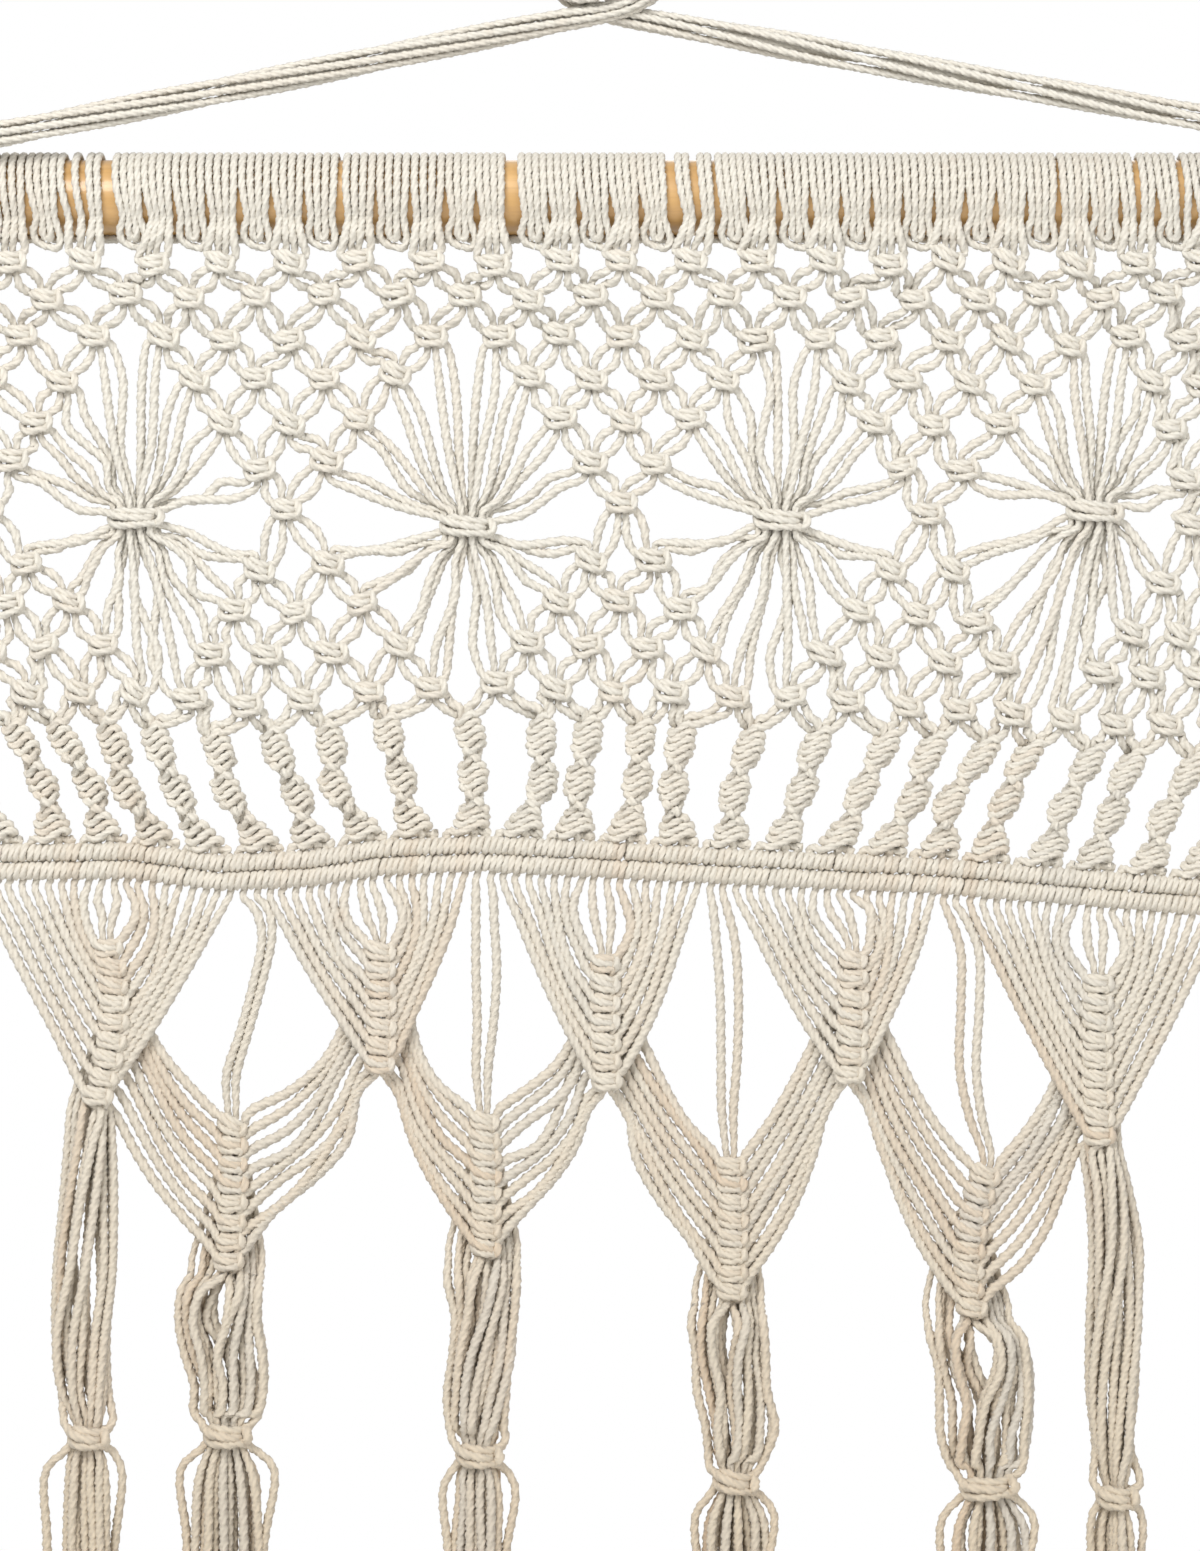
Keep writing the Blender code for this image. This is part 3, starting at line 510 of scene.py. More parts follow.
# How far each sinnet stands to the right of its straight line, at its top and its middle.
SINNET_LEAN = ((0.5, 0.0), (1.5, 4.0), (-0.7, 1.5), (-2.1, -3.5), (-3.0, -4.8), (-3.3, -4.0),
               (-1.0, -1.2), (-4.2, -5.5), (-4.6, -4.0), (-1.0, 2.5), (6.0, 6.0), (1.2, 0.6),
               (0.3, 1.2), (-4.5, -4.6), (0.8, -1.6), (2.9, 1.2), (4.2, 3.2), (2.8, 1.9),
               (2.4, -1.8), (1.7, -2.6), (2.7, 1.9), (1.6, -1.0), (3.0, 0.8), (0.0, 2.0))
HALF_KNOTS = 16
SINNET_TURN = ((0.0, 0.17, 0.36, 0.53, 0.73, 0.9, 1.0), (-0.3, 0.0, 0.5, 1.0, 1.5, 1.95, 2.0))
# How much steeper a worker drops in front and behind, the half width and half thickness of its
# ellipse, how far the ellipse lies to one side, and how far a filler does.
SINNET_SLOPE = 3.1
SINNET_WIDE = 4.1
SINNET_THIN = 1.9
SINNET_SWING = 1.0
SINNET_CORE = 0.9


def knot_sinnet(route, strand, unit):
    """A spiral sinnet of half knots. A worker goes round the two straight fillers once in two
    half knots, from right to left in front, on a flat ellipse, and drops in front and behind,
    not at the sides. The ellipse turns the other way through SINNET_TURN, in half turns by
    share of the way down, and dwells where its broad side faces the front.
    """
    role = strand % 4
    top_x = unit_x(unit, SINNET_TOP_DROP)
    top = np.array((top_x, 0.0, -(SINNET_TOP_DROP + band_wave(top_x, 1.0)) + 2.0))
    base_x = (strand_x(4 * unit) + strand_x(4 * unit + 3)) / 2
    base = np.array((base_x, 0.0, -(band_drop(base_x) - 7.7)))
    high_lean, low_lean = SINNET_LEAN[unit]
    leans = ((0.0, 0.5, 0.68, 0.84, 1.0),
             (high_lean, low_lean, 0.85 * low_lean, 0.3 * low_lean, 0.0))
    if role in (1, 2):
        side = -1 if role == 1 else 1
        share = np.linspace(0.0, 1.0, 9)[:, None]
        points = top + (base - top) * share + (side * SINNET_CORE, 0.0, 0.0)
        points[:, 0] += np.interp(share[:, 0], *leans)
        entry = points[0] + (side * 0.5, 0.0, 2.5)
        leg(route, route.points[-1][:3], entry, side * 1.0)
        route.through(entry)
        route.through(points, FILLER)
        return
    tau = np.arange(HALF_KNOTS * 4 + 1) / 4.0
    share = tau / HALF_KNOTS
    around = (math.pi if role == 0 else 0.0) - math.pi * tau
    theta = math.pi * np.interp(share, *SINNET_TURN) + 0.25 * math.sin(unit * 1.7)
    turned = theta - 0.33 * np.sin(2 * theta)
    flare = np.clip((share - 0.78) / 0.22, 0.0, 1.0)
    wide = SINNET_WIDE * (1.0 - 0.15 * np.exp(-share * 14.0) + 0.4 * flare)
    wide *= 1.0 + 0.07 * np.sin(2.3 * tau + unit)
    flat_x = wide * np.cos(around) + SINNET_SWING * math.sin(unit * 2.9) * (1.0 - flare)
    flat_y = SINNET_THIN * np.sin(around)
    lag = -np.sin(2 * math.pi * tau) * SINNET_SLOPE / (2 * math.pi)
    points = top + (base - top) * (share + lag / HALF_KNOTS)[:, None]
    points[:, 0] += flat_x * np.cos(turned) - flat_y * np.sin(turned)
    points[:, 0] += np.interp(share, *leans)
    points[:, 1] += flat_x * np.sin(turned) + flat_y * np.cos(turned)
    leg(route, route.points[-1][:3], points[0] + (0.0, 0.0, 1.4), 0.6 * (role - 1.5))
    route.through(points, SINNET_WORKER)


# The bars' distance, and the slant, half height and step of the turns round their cores.
BAR_APART = 5.95
BAR_SLANT = 0.7
BAR_HALF = 2.0
LOOP_STEP = 2.13


def bar_height(x, bar):
    """Height of a hitched bar's middle at x: bar 0 is the upper one."""
    return -(band_drop(x) + (bar - 0.5) * BAR_APART)


def hitch_on_bars(route, strand):
    """Two turns round each bar's core: a helix whose step is about half the strands' pitch,
    up the front and to the right. BAR_SLANT moves more of each step to the front.
    """
    x = strand_x(strand)
    uneven = rng.normal(size=2) * 0.2
    swell = rng.normal(size=2) * 0.12
    route.through(((x - 0.8, 0.7, bar_height(x, 0) + 4.4),), BAR_ENTRY)
    for bar in (0, 1):
        angles = np.arange(150.0, 905.0, 45.0)
        turn = np.radians(angles)
        along = x + LOOP_STEP * ((angles - 540.0) / 360.0
                                 + BAR_SLANT * np.sin(turn) / (2 * math.pi)) + uneven[bar]
        middle = np.array([bar_height(a, bar) for a in along])
        half = BAR_HALF + swell[bar]
        points = np.stack((along, -half * np.cos(turn), middle + half * np.sin(turn)), axis=1)
        route.through(points, HITCHED)
    route.through(((x + 0.8 + uneven[1], 1.7, bar_height(x, 1) - 2.7),
                   (x + uneven[1], 1.0, bar_height(x, 1) - 5.2)), FILLER)


class Leaf:
    """A knotted column and the square knot of each of its levels."""

    def __init__(self, row, y):
        self.top_x, top_drop, self.bottom_x, bottom_drop, self.levels, self.bend = row
        self.top_z, self.bottom_z = -top_drop, -bottom_drop
        self.y = y
        self.pitch = (self.top_z - self.bottom_z) / self.levels
        lean = math.atan2(self.bottom_x - self.top_x, self.top_z - self.bottom_z)
        self.knots = []
        for level in range(self.levels):
            turn, grow = rng.normal(size=2)
            size = np.array((0.9, 0.9, self.pitch / 7.2)) * (1.0 + 0.03 * grow)
            self.knots.append(Knot(self.middle(level + 0.5), size,
                                   lean + math.radians(4.0 * turn), 0.1 + 0.1 * rng.normal()))

    def middle(self, level):
        """A point of the column's middle line, counted in levels from its top."""
        share = level / self.levels
        return np.array((self.top_x + (self.bottom_x - self.top_x) * share
                         + self.bend * math.sin(math.pi * min(1.0, max(0.0, share))), self.y,
                         self.top_z + (self.bottom_z - self.top_z) * share))

    def join(self, route, side, level, start, slack):
        """Bring a string in from one side as the worker of a level, then on as a filler."""
        template = LEFT_WORKER if side < 0 else RIGHT_WORKER
        entry = self.middle(level + 0.5) + (side * 5.6, -0.5, 4.4)
        leg(route, start, entry, side * slack, rng.normal() * (0.3 + 0.1 * slack), 0.0,
            LEAF_STRING)
        route.through(entry, LEAF_STRING)
        route.through(self.knots[level].put(template)[1:-1], LEAF_WORKER)
        if level < self.levels - 1:
            route.through((self.middle(level + 1.5) + (side * 1.0, 0.3, 0.0),
                           self.middle(level + 2.0) + (side * 1.1, 0.9, 0.0)), LEAF_CORE)
            return level + 2.0
        return level + 1.0

    def top(self, side, height):
        """Where one of the two strings that come down into the column's top enters it."""
        return self.middle(0.0) + (side * 1.4, 0.1, height)

    def head(self, route, side, top):
        """Run one of those two strings in as a filler, to the level where it goes behind."""
        route.through((top, self.middle(0.5) + (side * 1.0, 0.3, 0.0),
                       self.middle(1.0) + (side * 1.1, 0.7, 0.0)), LEAF_FILLER)
        return 1.2


def bundle_place(order, count):
    """A string's place across and deep in a round bundle, whose strings lie as seeds do in
    a sunflower and are counted from the left.
    """
    seed = np.arange(count)
    out, turn = np.sqrt((seed + 0.6) / count), 2.4 * seed
    places = np.stack((out * np.cos(turn), out * np.sin(turn)), axis=1)
    return places[np.argsort(places[:, 0])][order]


# Where a string's points lie on its way to the tie and in its tail, as shares of the way.
ABOVE_SHARES = (0.12, 0.3, 0.5, 0.7, 0.86)
TAIL_SHARES = (0.07, 0.17, 0.32, 0.48, 0.62, 0.76, 0.89)
# Where a tie's workers stand for their tone: a little left of the middle.
WORKER_ACROSS = -0.15


def hang_tassel(route, number, order, count, start_level, leaf):
    """From behind a leaf's column down into the tassel, through its tie, to the cut end.

    The bundle turns about its middle on its way to the tie, and keeps the turn below it. Its
    two outermost strings are the tie's workers, and stay at its sides.
    """
    tie_x, tie_drop, above, below, end_spread, end_drop = TASSELS[number - 1]
    tie_width, bulge, twist, sway, bow, parting = TASSEL_SHAPES[number - 1]
    root = TASSEL_ROOTS[number - 1]
    u, v = bundle_place(order, count)
    worker = order in (0, count - 1)
    side = -1 if order == 0 else 1
    route.across = WORKER_ACROSS if worker else u
    behind = leaf.y + 4.4
    foot = leaf.middle(leaf.levels)
    left_at = leaf.middle(min(start_level, leaf.levels))
    fall = left_at[2] - foot[2]
    reach = min(root, 2.5 + 0.75 * (fall + 4.0))
    for level in np.arange(start_level + 0.9, leaf.levels - 0.4, 1.5):
        place = leaf.middle(level)
        share = (left_at[2] - place[2]) / max(fall, 1e-3)
        route.through((place[0] + u * reach * min(1.0, 0.3 + 0.8 * share),
                       behind + v * 2.0 * share, place[2]), LEAF_FILLER)
    route.through((foot[0] + u * reach, leaf.y + 2.0 + v * 3.2, foot[2] - 1.5), BIGHT)
    route.mark(f"tassel_{number}")
    tie = np.array((tie_x, TASSEL_Y, -tie_drop))
    wave = rng.normal(size=(len(ABOVE_SHARES) + len(TAIL_SHARES), 2)) * (0.6, 0.5)
    for share, (wave_x, wave_y) in zip(ABOVE_SHARES, wave):
        middle = (foot[0] + (tie_x - foot[0]) * share
                  + sway * math.sin(2 * math.pi * share) + bow * math.sin(math.pi * share))
        spread = np.interp(share, (0.0, 0.3, 0.5, 0.7, 0.86),
                           (reach, above, above * 0.98, above * 0.92, above * 0.78))
        z = foot[2] + (tie[2] - foot[2]) * share
        if worker:
            route.through((middle + u * (spread + 0.6 + 1.4 * share) + wave_x,
                           TASSEL_Y + v * 4.6, z))
            continue
        turn = math.radians(twist) * share
        apart = parting * max(0.0, 1.0 - abs(share - 0.2) * 4.0) * (1.0 - abs(u))
        across = (u + math.copysign(apart, u)) * math.cos(turn) + v * math.sin(turn)
        deep = v * math.cos(turn) - u * math.sin(turn)
        route.through((middle + across * spread + wave_x,
                       TASSEL_Y + deep * 4.8 + wave_y, z))
    half = tie_width / 2
    # The first tassel's left worker strays away from the bundle.
    stray = number == 1 and side < 0
    if worker:
        template = LEFT_WORKER if side < 0 else RIGHT_WORKER
        route.through((tie_x + side * (half + 0.5), TASSEL_Y - 1.0, tie[2] + 5.0), TIE_END)
        route.through(tie_knots[number].put(template)[1:-1], TIE_WORKER)
        route.through(((tie_x + side * (half + 0.4), TASSEL_Y - 0.8, tie[2] - 4.6),
                       (tie_x + side * (below + bulge + (3.6 if stray else 0.4)),
                        TASSEL_Y - 0.6, tie[2] - 11.0)), TIE_END)
    else:
        turn = math.radians(twist)
        u, v = u * math.cos(turn) + v * math.sin(turn), v * math.cos(turn) - u * math.sin(turn)
        for height, wide, deep in ((7.0, half - 1.8, 4.4), (2.5, half - 3.4, 3.6),
                                   (-2.5, half - 3.2, 3.6), (-6.5, half - 1.0, 4.2)):
            route.through(tie + (u * wide, v * deep, height), TIE_FILLER)
    length = end_drop - tie_drop
    drift = rng.normal() * 1.6
    ending = end_drop + rng.normal() * 1.6
    for share, (wave_x, wave_y) in zip(TAIL_SHARES, wave[len(ABOVE_SHARES):]):
        if worker and share == TAIL_SHARES[0]:
            continue
        spread = np.interp(share, (0.0, 0.07, 0.17, 1.0),
                           (6.8, below * 0.9, below, end_spread))
        if worker and share < 0.3:
            spread = np.interp(share, (0.0, 0.3), (below + bulge + 0.4, below + bulge * 0.4))
        if stray:
            spread = np.interp(share, (0.1, 0.2, 1.0), (15.5, 18.0, 17.0))
        route.through((tie_x + u * spread + wave_x * (0.8 + share) + drift * share ** 2,
                       TASSEL_Y + v * 5.0 + wave_y, -(tie_drop + length * share)))
    route.through((tie_x + u * (16.5 if stray else end_spread) + drift, TASSEL_Y + v * 5.4,
                   -ending))


def finish_below(route, strand):
    """Run a string from the band through its leaves into its tassel."""
    start = np.array(route.points[-1][:3])
    kind, number, place = strand_part[strand]
    if kind == "pair":
        leaf = lower_leaves[number]
        side = -1 if place == 0 else 1
        top = leaf.top(side, 2.8)
        for share, bend in zip(PAIR_SHARES, PAIR_BENDS[number]):
            widen = PAIR_GAPS[number] * math.sin(math.pi * share ** 0.8)
            route.through(start + (top - start) * share
                          + (bend + side * widen + rng.normal() * 0.2, 0.0, 0.0))
        level = leaf.head(route, side, top)
        hang_tassel(route, number + 2, LOWER_JOINERS + place, MIDDLE_COUNT, level, leaf)
        return
    leaf = upper_leaves[number]
    side, joiner = place
    slack = LEAF_SLACK[number][0 if side < 0 else 1]
    if joiner < 0:
        top = leaf.top(side, 2.6)
        leg(route, start, top, side * 1.2 * slack, rng.normal() * 0.5)
        level = leaf.head(route, side, top)
    else:
        # The nearer to the column a string is, the further it bows on its way in.
        bulge = np.interp(joiner, (0, 2, 4, 8), (4.2, 4.0, 2.6, 1.2))
        level = leaf.join(route, side, joiner, start, slack * bulge * rng.uniform(0.85, 1.15))
    order = joiner + 1
    target = number if side > 0 else number - 1
    if 0 <= target < len(lower_leaves) and order < LOWER_JOINERS:
        lower = lower_leaves[target]
        slack = LOWER_SLACK[target][0 if side > 0 else 1]
        slack *= np.interp(order, (0, 3, 5, LOWER_JOINERS - 1),
                           (1.25, 0.9, 0.85, LOWER_LOOSE[target]))
        slack *= rng.uniform(0.85, 1.15)
        behind = leaf.middle(min(level + 0.6, leaf.levels + 0.1))
        route.through(behind + (side * 1.6, 3.4, 0.0), LEAF_FILLER)
        route.through(behind + (side * (5.0 + 0.4 * slack), 4.8, -7.5 + 0.5 * slack))
        route.mark(f"lower_leaf_{target + 1}")
        level = lower.join(route, -side, order, route.points[-1][:3], slack)
        rank = order if side > 0 else MIDDLE_COUNT - 1 - order
        hang_tassel(route, target + 2, rank, MIDDLE_COUNT, level, lower)
        return
    # An end tassel takes all of its leaf's outer strands and the two last of the inner side.
    tassel = 1 if number == 0 else len(TASSELS)
    outer = side < 0 if tassel == 1 else side > 0
    rank = order if outer else END_COUNT - 1 - (order - LOWER_JOINERS)
    if tassel != 1:
        rank = END_COUNT - 1 - rank
    hang_tassel(route, tassel, rank, END_COUNT, level, leaf)


def sort_strands():
    """Which leaf and place each strand belongs to, counted from the left of the band."""
    parts = {}
    strand = 0
    for number, row in enumerate(UPPER_LEAVES):
        side = row[4]
        for k in range(side):
            parts[strand + side - 1 - k] = ("leaf", number, (-1, k))
            parts[strand + side + 2 + k] = ("leaf", number, (1, k))
        parts[strand + side] = ("leaf", number, (-1, -1))
        parts[strand + side + 1] = ("leaf", number, (1, -1))
        strand += 2 * side + 2
        if number < len(LOWER_LEAVES):
            parts[strand] = ("pair", number, 0)
            parts[strand + 1] = ("pair", number, 1)
            strand += 2
    return parts


def smooth_curve(points):
    """Cubic Hermite curve through points, its parameter growing with the root of each gap.

    Each inner tangent is the slopes before and after it, weighted by the other's gap.
    """
    points = np.asarray(points, dtype=float)
    gap = np.sqrt(np.linalg.norm(np.diff(points[:, :3], axis=0), axis=1))[:, None]
    slope = np.diff(points, axis=0) / gap
    tangent = np.empty_like(points)
    tangent[1:-1] = (slope[:-1] * gap[1:] + slope[1:] * gap[:-1]) / (gap[:-1] + gap[1:])
    tangent[0], tangent[-1] = slope[0], slope[-1]
    t = (np.arange(CURVE_STEPS) / CURVE_STEPS)[None, :, None]
    start, end = points[:-1, None], points[1:, None]
    leave, arrive = (tangent[:-1] * gap)[:, None], (tangent[1:] * gap)[:, None]
    curve = ((2 * t ** 3 - 3 * t ** 2 + 1) * start + (t ** 3 - 2 * t ** 2 + t) * leave
             + (3 * t ** 2 - 2 * t ** 3) * end + (t ** 3 - t ** 2) * arrive)
    return np.concatenate((curve.reshape(-1, points.shape[1]), points[-1:]))


def place_rings(curve):
    """Rings along a curve, closer where it bends: the count so far is length / RING_STEP
    plus RINGS_PER_RADIAN times the angle turned. Also gives the count at each curve point.
    """
    step = np.diff(curve[:, :3], axis=0)
    length = np.linalg.norm(step, axis=1)
    way = step / np.maximum(length, 1e-9)[:, None]
    turn = np.arccos(np.clip(np.sum(way[:-1] * way[1:], axis=1), -1.0, 1.0))
    bend = np.zeros(len(length))
    bend[:-1] += turn / 2
    bend[1:] += turn / 2
    measure = np.concatenate(([0.0], np.cumsum(length / RING_STEP + RINGS_PER_RADIAN * bend)))
    count = int(math.ceil(measure[-1]))
    measure *= count / measure[-1]
    places = np.arange(count + 1)
    rings = np.stack([np.interp(places, measure, column) for column in curve.T], axis=1)
    return rings, measure


class String:
    """A route made into rings, with its cuts as ring numbers."""

    def __init__(self, route):
        self.rings, measure = place_rings(smooth_curve(route.points))
        self.cuts = {name: int(round(measure[point * CURVE_STEPS]))
                     for name, point in route.marks.items()}


def carry_normals(tangent, first):
    """Normals all along one path or many, from a first one each: every normal is the last
    one with its part along the new tangent taken away, made one unit long.
    """
    normal = np.empty_like(tangent)
    normal[..., 0, :] = first
    for k in range(1, tangent.shape[-2]):
        here, carried = tangent[..., k, :], normal[..., k - 1, :]
        carried = carried - np.sum(carried * here, axis=-1, keepdims=True) * here
        normal[..., k, :] = carried / np.linalg.norm(carried, axis=-1, keepdims=True)
    return normal


def skin_strings(strings):
    """The surface of each string: three plies as a six-sided section that turns with LAY.

    All strings are skinned at once, drawn straight on to the length of the longest one. Gives
    each string its vertices and its lengths up to each ring.
    """
    count = len(strings)
    longest = max(len(string.rings) for string in strings)
    paths = np.empty((count, longest + 1, 4))
    for k, string in enumerate(strings):
        rings = string.rings
        paths[k, :len(rings)] = rings
        extra = np.arange(1, longest + 2 - len(rings))[:, None]
        paths[k, len(rings):] = rings[-1] + (rings[-1] - rings[-2]) * extra
    place = paths[:, :, :3]
    tangent = np.empty_like(place)
    tangent[:, 1:-1] = place[:, 2:] - place[:, :-2]
    tangent[:, 0] = place[:, 1] - place[:, 0]
    tangent[:, -1] = tangent[:, -2]
    tangent /= np.linalg.norm(tangent, axis=2, keepdims=True)
    first = np.cross(tangent[:, 0], (0.3, 0.9, 0.2))
    normal = carry_normals(tangent, first / np.linalg.norm(first, axis=1, keepdims=True))
    side = np.cross(tangent, normal)
    travelled = np.linalg.norm(np.diff(place, axis=1), axis=2)
    length = np.concatenate((np.zeros((count, 1)), np.cumsum(travelled, axis=1)), axis=1)
    phase = rng.uniform(0.0, 2 * math.pi, size=(count, 1, 1))
    around = np.arange(SECTION_SIDES) * 2 * math.pi / SECTION_SIDES
    angle = 2 * math.pi * length[:, :, None] / LAY + phase + around
    reach = np.where(np.arange(SECTION_SIDES) % 2 == 0, PLY_CREST, PLY_GROOVE)
    reach = (paths[:, :, 3:] * reach)[..., None]
    surface = place[:, :, None] + reach * (np.cos(angle)[..., None] * normal[:, :, None]
                                           + np.sin(angle)[..., None] * side[:, :, None])
    for k, string in enumerate(strings):
        used = len(string.rings)
        string.surface = surface[k, :used]
        string.length = length[k, :used]


def new_object(name, data):
    """An object of a mesh, a light or a camera, in the scene."""
    thing = bpy.data.objects.new(name, data)
    bpy.context.scene.collection.objects.link(thing)
    return thing


def finish_mesh(mesh, material, sharp):
    """Smooth a mesh but for edges over an angle in degrees, and give it its material."""
    mesh.shade_smooth()
    mesh.set_sharp_from_angle(angle=math.radians(sharp))
    mesh.materials.append(material)


def quads_between(rings, sides):
    """The faces that join each ring to the next, by the ring and the side of each corner."""
    along = np.arange(rings - 1)[:, None, None] + (0, 0, 1, 1)
    around = np.arange(sides)[:, None] + (0, 1, 1, 0)
    return np.broadcast_arrays(along, around)


def string_mesh(name, runs):
    """One mesh of many stretches of string. A run is (string, first ring, last ring).

    Quads join each ring to the next and a six-sided face closes each end. The layer "ply" has
    the length in lays as U and the way round the section as V. "tone" has the string's tone.
    """
    sides = SECTION_SIDES
    vertices, loops, starts, coordinates, tone_values = [], [], [], [], []
    vertex_count = loop_count = 0
    turn = np.arange(sides)
    for string, first, last in runs:
        surface = string.surface[first:last + 1]
        length = string.length[first:last + 1] / LAY
        rings = len(surface)
        along, around = quads_between(rings, sides)
        quads = (along * sides + around % sides).reshape(-1, 4)
        caps = np.stack((turn[::-1], (rings - 1) * sides + turn))
        vertices.append(surface.reshape(-1, 3))
        loops.append(np.concatenate((quads.ravel(), caps.ravel())) + vertex_count)
        quad_starts = np.arange(len(quads)) * 4
        cap_starts = len(quads) * 4 + np.array((0, sides))
        starts.append(np.concatenate((quad_starts, cap_starts)) + loop_count)
        quad_uv = np.stack((length[along], around / sides), axis=-1)
        cap_uv = np.stack((np.repeat((length[0], length[-1]), sides),
                           np.concatenate((turn[::-1], turn)) / sides), axis=1)
        coordinates.append(np.concatenate((quad_uv.reshape(-1, 2), cap_uv)))
        tone_values.append(np.full(rings * sides, string.tone))
        vertex_count += rings * sides
        loop_count += len(quads) * 4 + 2 * sides
    vertices = np.concatenate(vertices)
    vertices[:, 2] -= ROD_DROP
    starts = np.concatenate(starts)
    mesh = bpy.data.meshes.new(name)
    mesh.vertices.add(vertex_count)
    mesh.vertices.foreach_set("co", (vertices * MM).ravel())
    mesh.loops.add(loop_count)
    mesh.loops.foreach_set("vertex_index", np.concatenate(loops).astype(np.int32))
    mesh.polygons.add(len(starts))
    mesh.polygons.foreach_set("loop_start", starts.astype(np.int32))
    mesh.update(calc_edges=True)
    mesh.uv_layers.new(name="ply").data.foreach_set("uv", np.concatenate(coordinates).ravel())
    tone_layer = mesh.attributes.new("tone", "FLOAT", "POINT")
    tone_layer.data.foreach_set("value", np.concatenate(tone_values))
    finish_mesh(mesh, cotton, 78)
    return mesh


def add_piece(name, runs, node):
    """Make a piece of string runs that stands for a CAD node."""
    piece = new_object(name, string_mesh(name, runs))
    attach(piece, "root")
    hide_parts(node)


def whole(string):
    """The run of all of a string."""
    return (string, 0, len(string.rings) - 1)


# The hanging cord: six strings round a seventh, wound twice round each end of the rod, tied
# there, up to the knot in the middle, and through its loop. Each leg has its side, and the
# height and depth at which it leaves the rod.
HANGER_LEGS = ((-1, 1.9, -20.8), (1, 9.4, -18.5))
HANGER_SPREAD = 285.0
# How far the six lie from the seventh, the x and factor by which that changes, and the length
# in which they go once round it.
BUNDLE = 3.15
BUNDLE_SPREAD = ((-285.0, -120.0, -25.0, -9.0, 0.0, 9.0, 25.0, 60.0, 200.0, 285.0),
                 (0.9, 1.0, 0.95, 0.85, 0.72, 0.85, 1.0, 1.25, 1.12, 0.9))
BUNDLE_LAY = 330.0
# The string wound round the bundle beside the rod.
WRAP_HALF_WIDTH = 5.6
WRAP_HALF_DEPTH = 4.6
WRAP_HEIGHT = 9.5
WRAP_TURNS = 4


def hanger_line():
    """The middle line of the bundle from the left end of the rod to the right one."""
    points = []
    for side, rise, y in HANGER_LEGS:
        turns = []
        for angle in np.arange(-40.0, 700.0, 24.0):
            share = (angle + 40.0) / 740.0
            turns.append(on_rod(side * (HANGER_SPREAD + 3.6 - 7.2 * share), angle, 4.3))
        leg_start = [(side * (HANGER_SPREAD - 3.6), y + 0.6, rise - 7.0),
                     (side * (HANGER_SPREAD - 1.5), y, rise)]
        start = np.array((side * HANGER_SPREAD, y, rise))
        crossing = np.array((-side * 3.0, side * 2.6, 62.6))
        run = [start + (crossing - start) * share + (0, 0, -0.8 * math.sin(math.pi * share))
               for share in np.linspace(0.03, 1.0, 13)]
        points.append(turns + leg_start + run)
    knot = [(11.0, -3.0, 66.4), (17.4, -1.0, 72.5), (13.5, 5.0, 80.0), (0.0, 7.0, 84.0),
            (-13.0, 4.5, 81.0), (-17.6, -2.5, 74.5), (-12.0, -6.5, 68.2), (-2.0, -8.5, 69.0),
            (4.0, -7.0, 77.0), (-1.0, -3.0, 86.0)]
    loop = [(-7.6, 0.0, 92.5), (-7.8, 0.0, 98.5), (-4.8, 0.0, 103.1), (0.0, 0.0, 104.6)]
    mirrored = [(-x, -y, z) for x, y, z in reversed(knot)]
    loop_down = [(-x, y, z) for x, y, z in reversed(loop[:-1])]
    return np.array(points[0] + knot + loop + loop_down + mirrored + points[1][::-1])


def bundle_routes():
    """Six strings round a seventh, turning slowly about the bundle's middle line."""
    line = smooth_curve(hanger_line())
    place = place_rings(line)[0][::2]
    tangent = np.gradient(place, axis=0)
    tangent /= np.linalg.norm(tangent, axis=1, keepdims=True)
    normal = carry_normals(tangent, np.cross(tangent[0], (1.0, 0.0, 0.0)))
    side = np.cross(tangent, normal)
    length = np.concatenate(([0.0], np.cumsum(np.linalg.norm(np.diff(place, axis=0), axis=1))))
    reach = BUNDLE * np.interp(place[:, 0], *BUNDLE_SPREAD)
    routes = []
    for k in range(7):
        route = Route()
        angle = 2 * math.pi * (length / BUNDLE_LAY + k / 6.0)
        out = 0.0 if k == 6 else reach + 0.35 * np.sin(length / 31.0 + 2.2 * k)
        across, deep = out * np.cos(angle), out * np.sin(angle)
        route.through(place + across[..., None] * normal + deep[..., None] * side,
                      CORD_STRING)
        routes.append(route)
    return routes


def wrap_route(side, rise, y):
    """The string wound on an ellipse round a leg of the hanging cord, from the top down."""
    turn = np.arange(WRAP_TURNS * 12 + 1) / 12.0
    angle = 2 * math.pi * turn
    route = Route()
    route.through(np.stack((side * (HANGER_SPREAD - 1.0) + WRAP_HALF_WIDTH * np.cos(angle),
                            y + 0.5 - WRAP_HALF_DEPTH * np.sin(angle),
                            rise + WRAP_HEIGHT * (0.5 - turn / WRAP_TURNS)), axis=1), CORD_WRAP)
    return route


def core_route(bar):
    """The string inside a hitched bar, from end to end of the band."""
    xs = np.linspace(strand_x(0) - 3.4, strand_x(STRANDS - 1) + 3.4, 60)
    route = Route()
    route.through([(x, 0.0, bar_height(x, bar)) for x in xs], BAR_CORE)
    return route


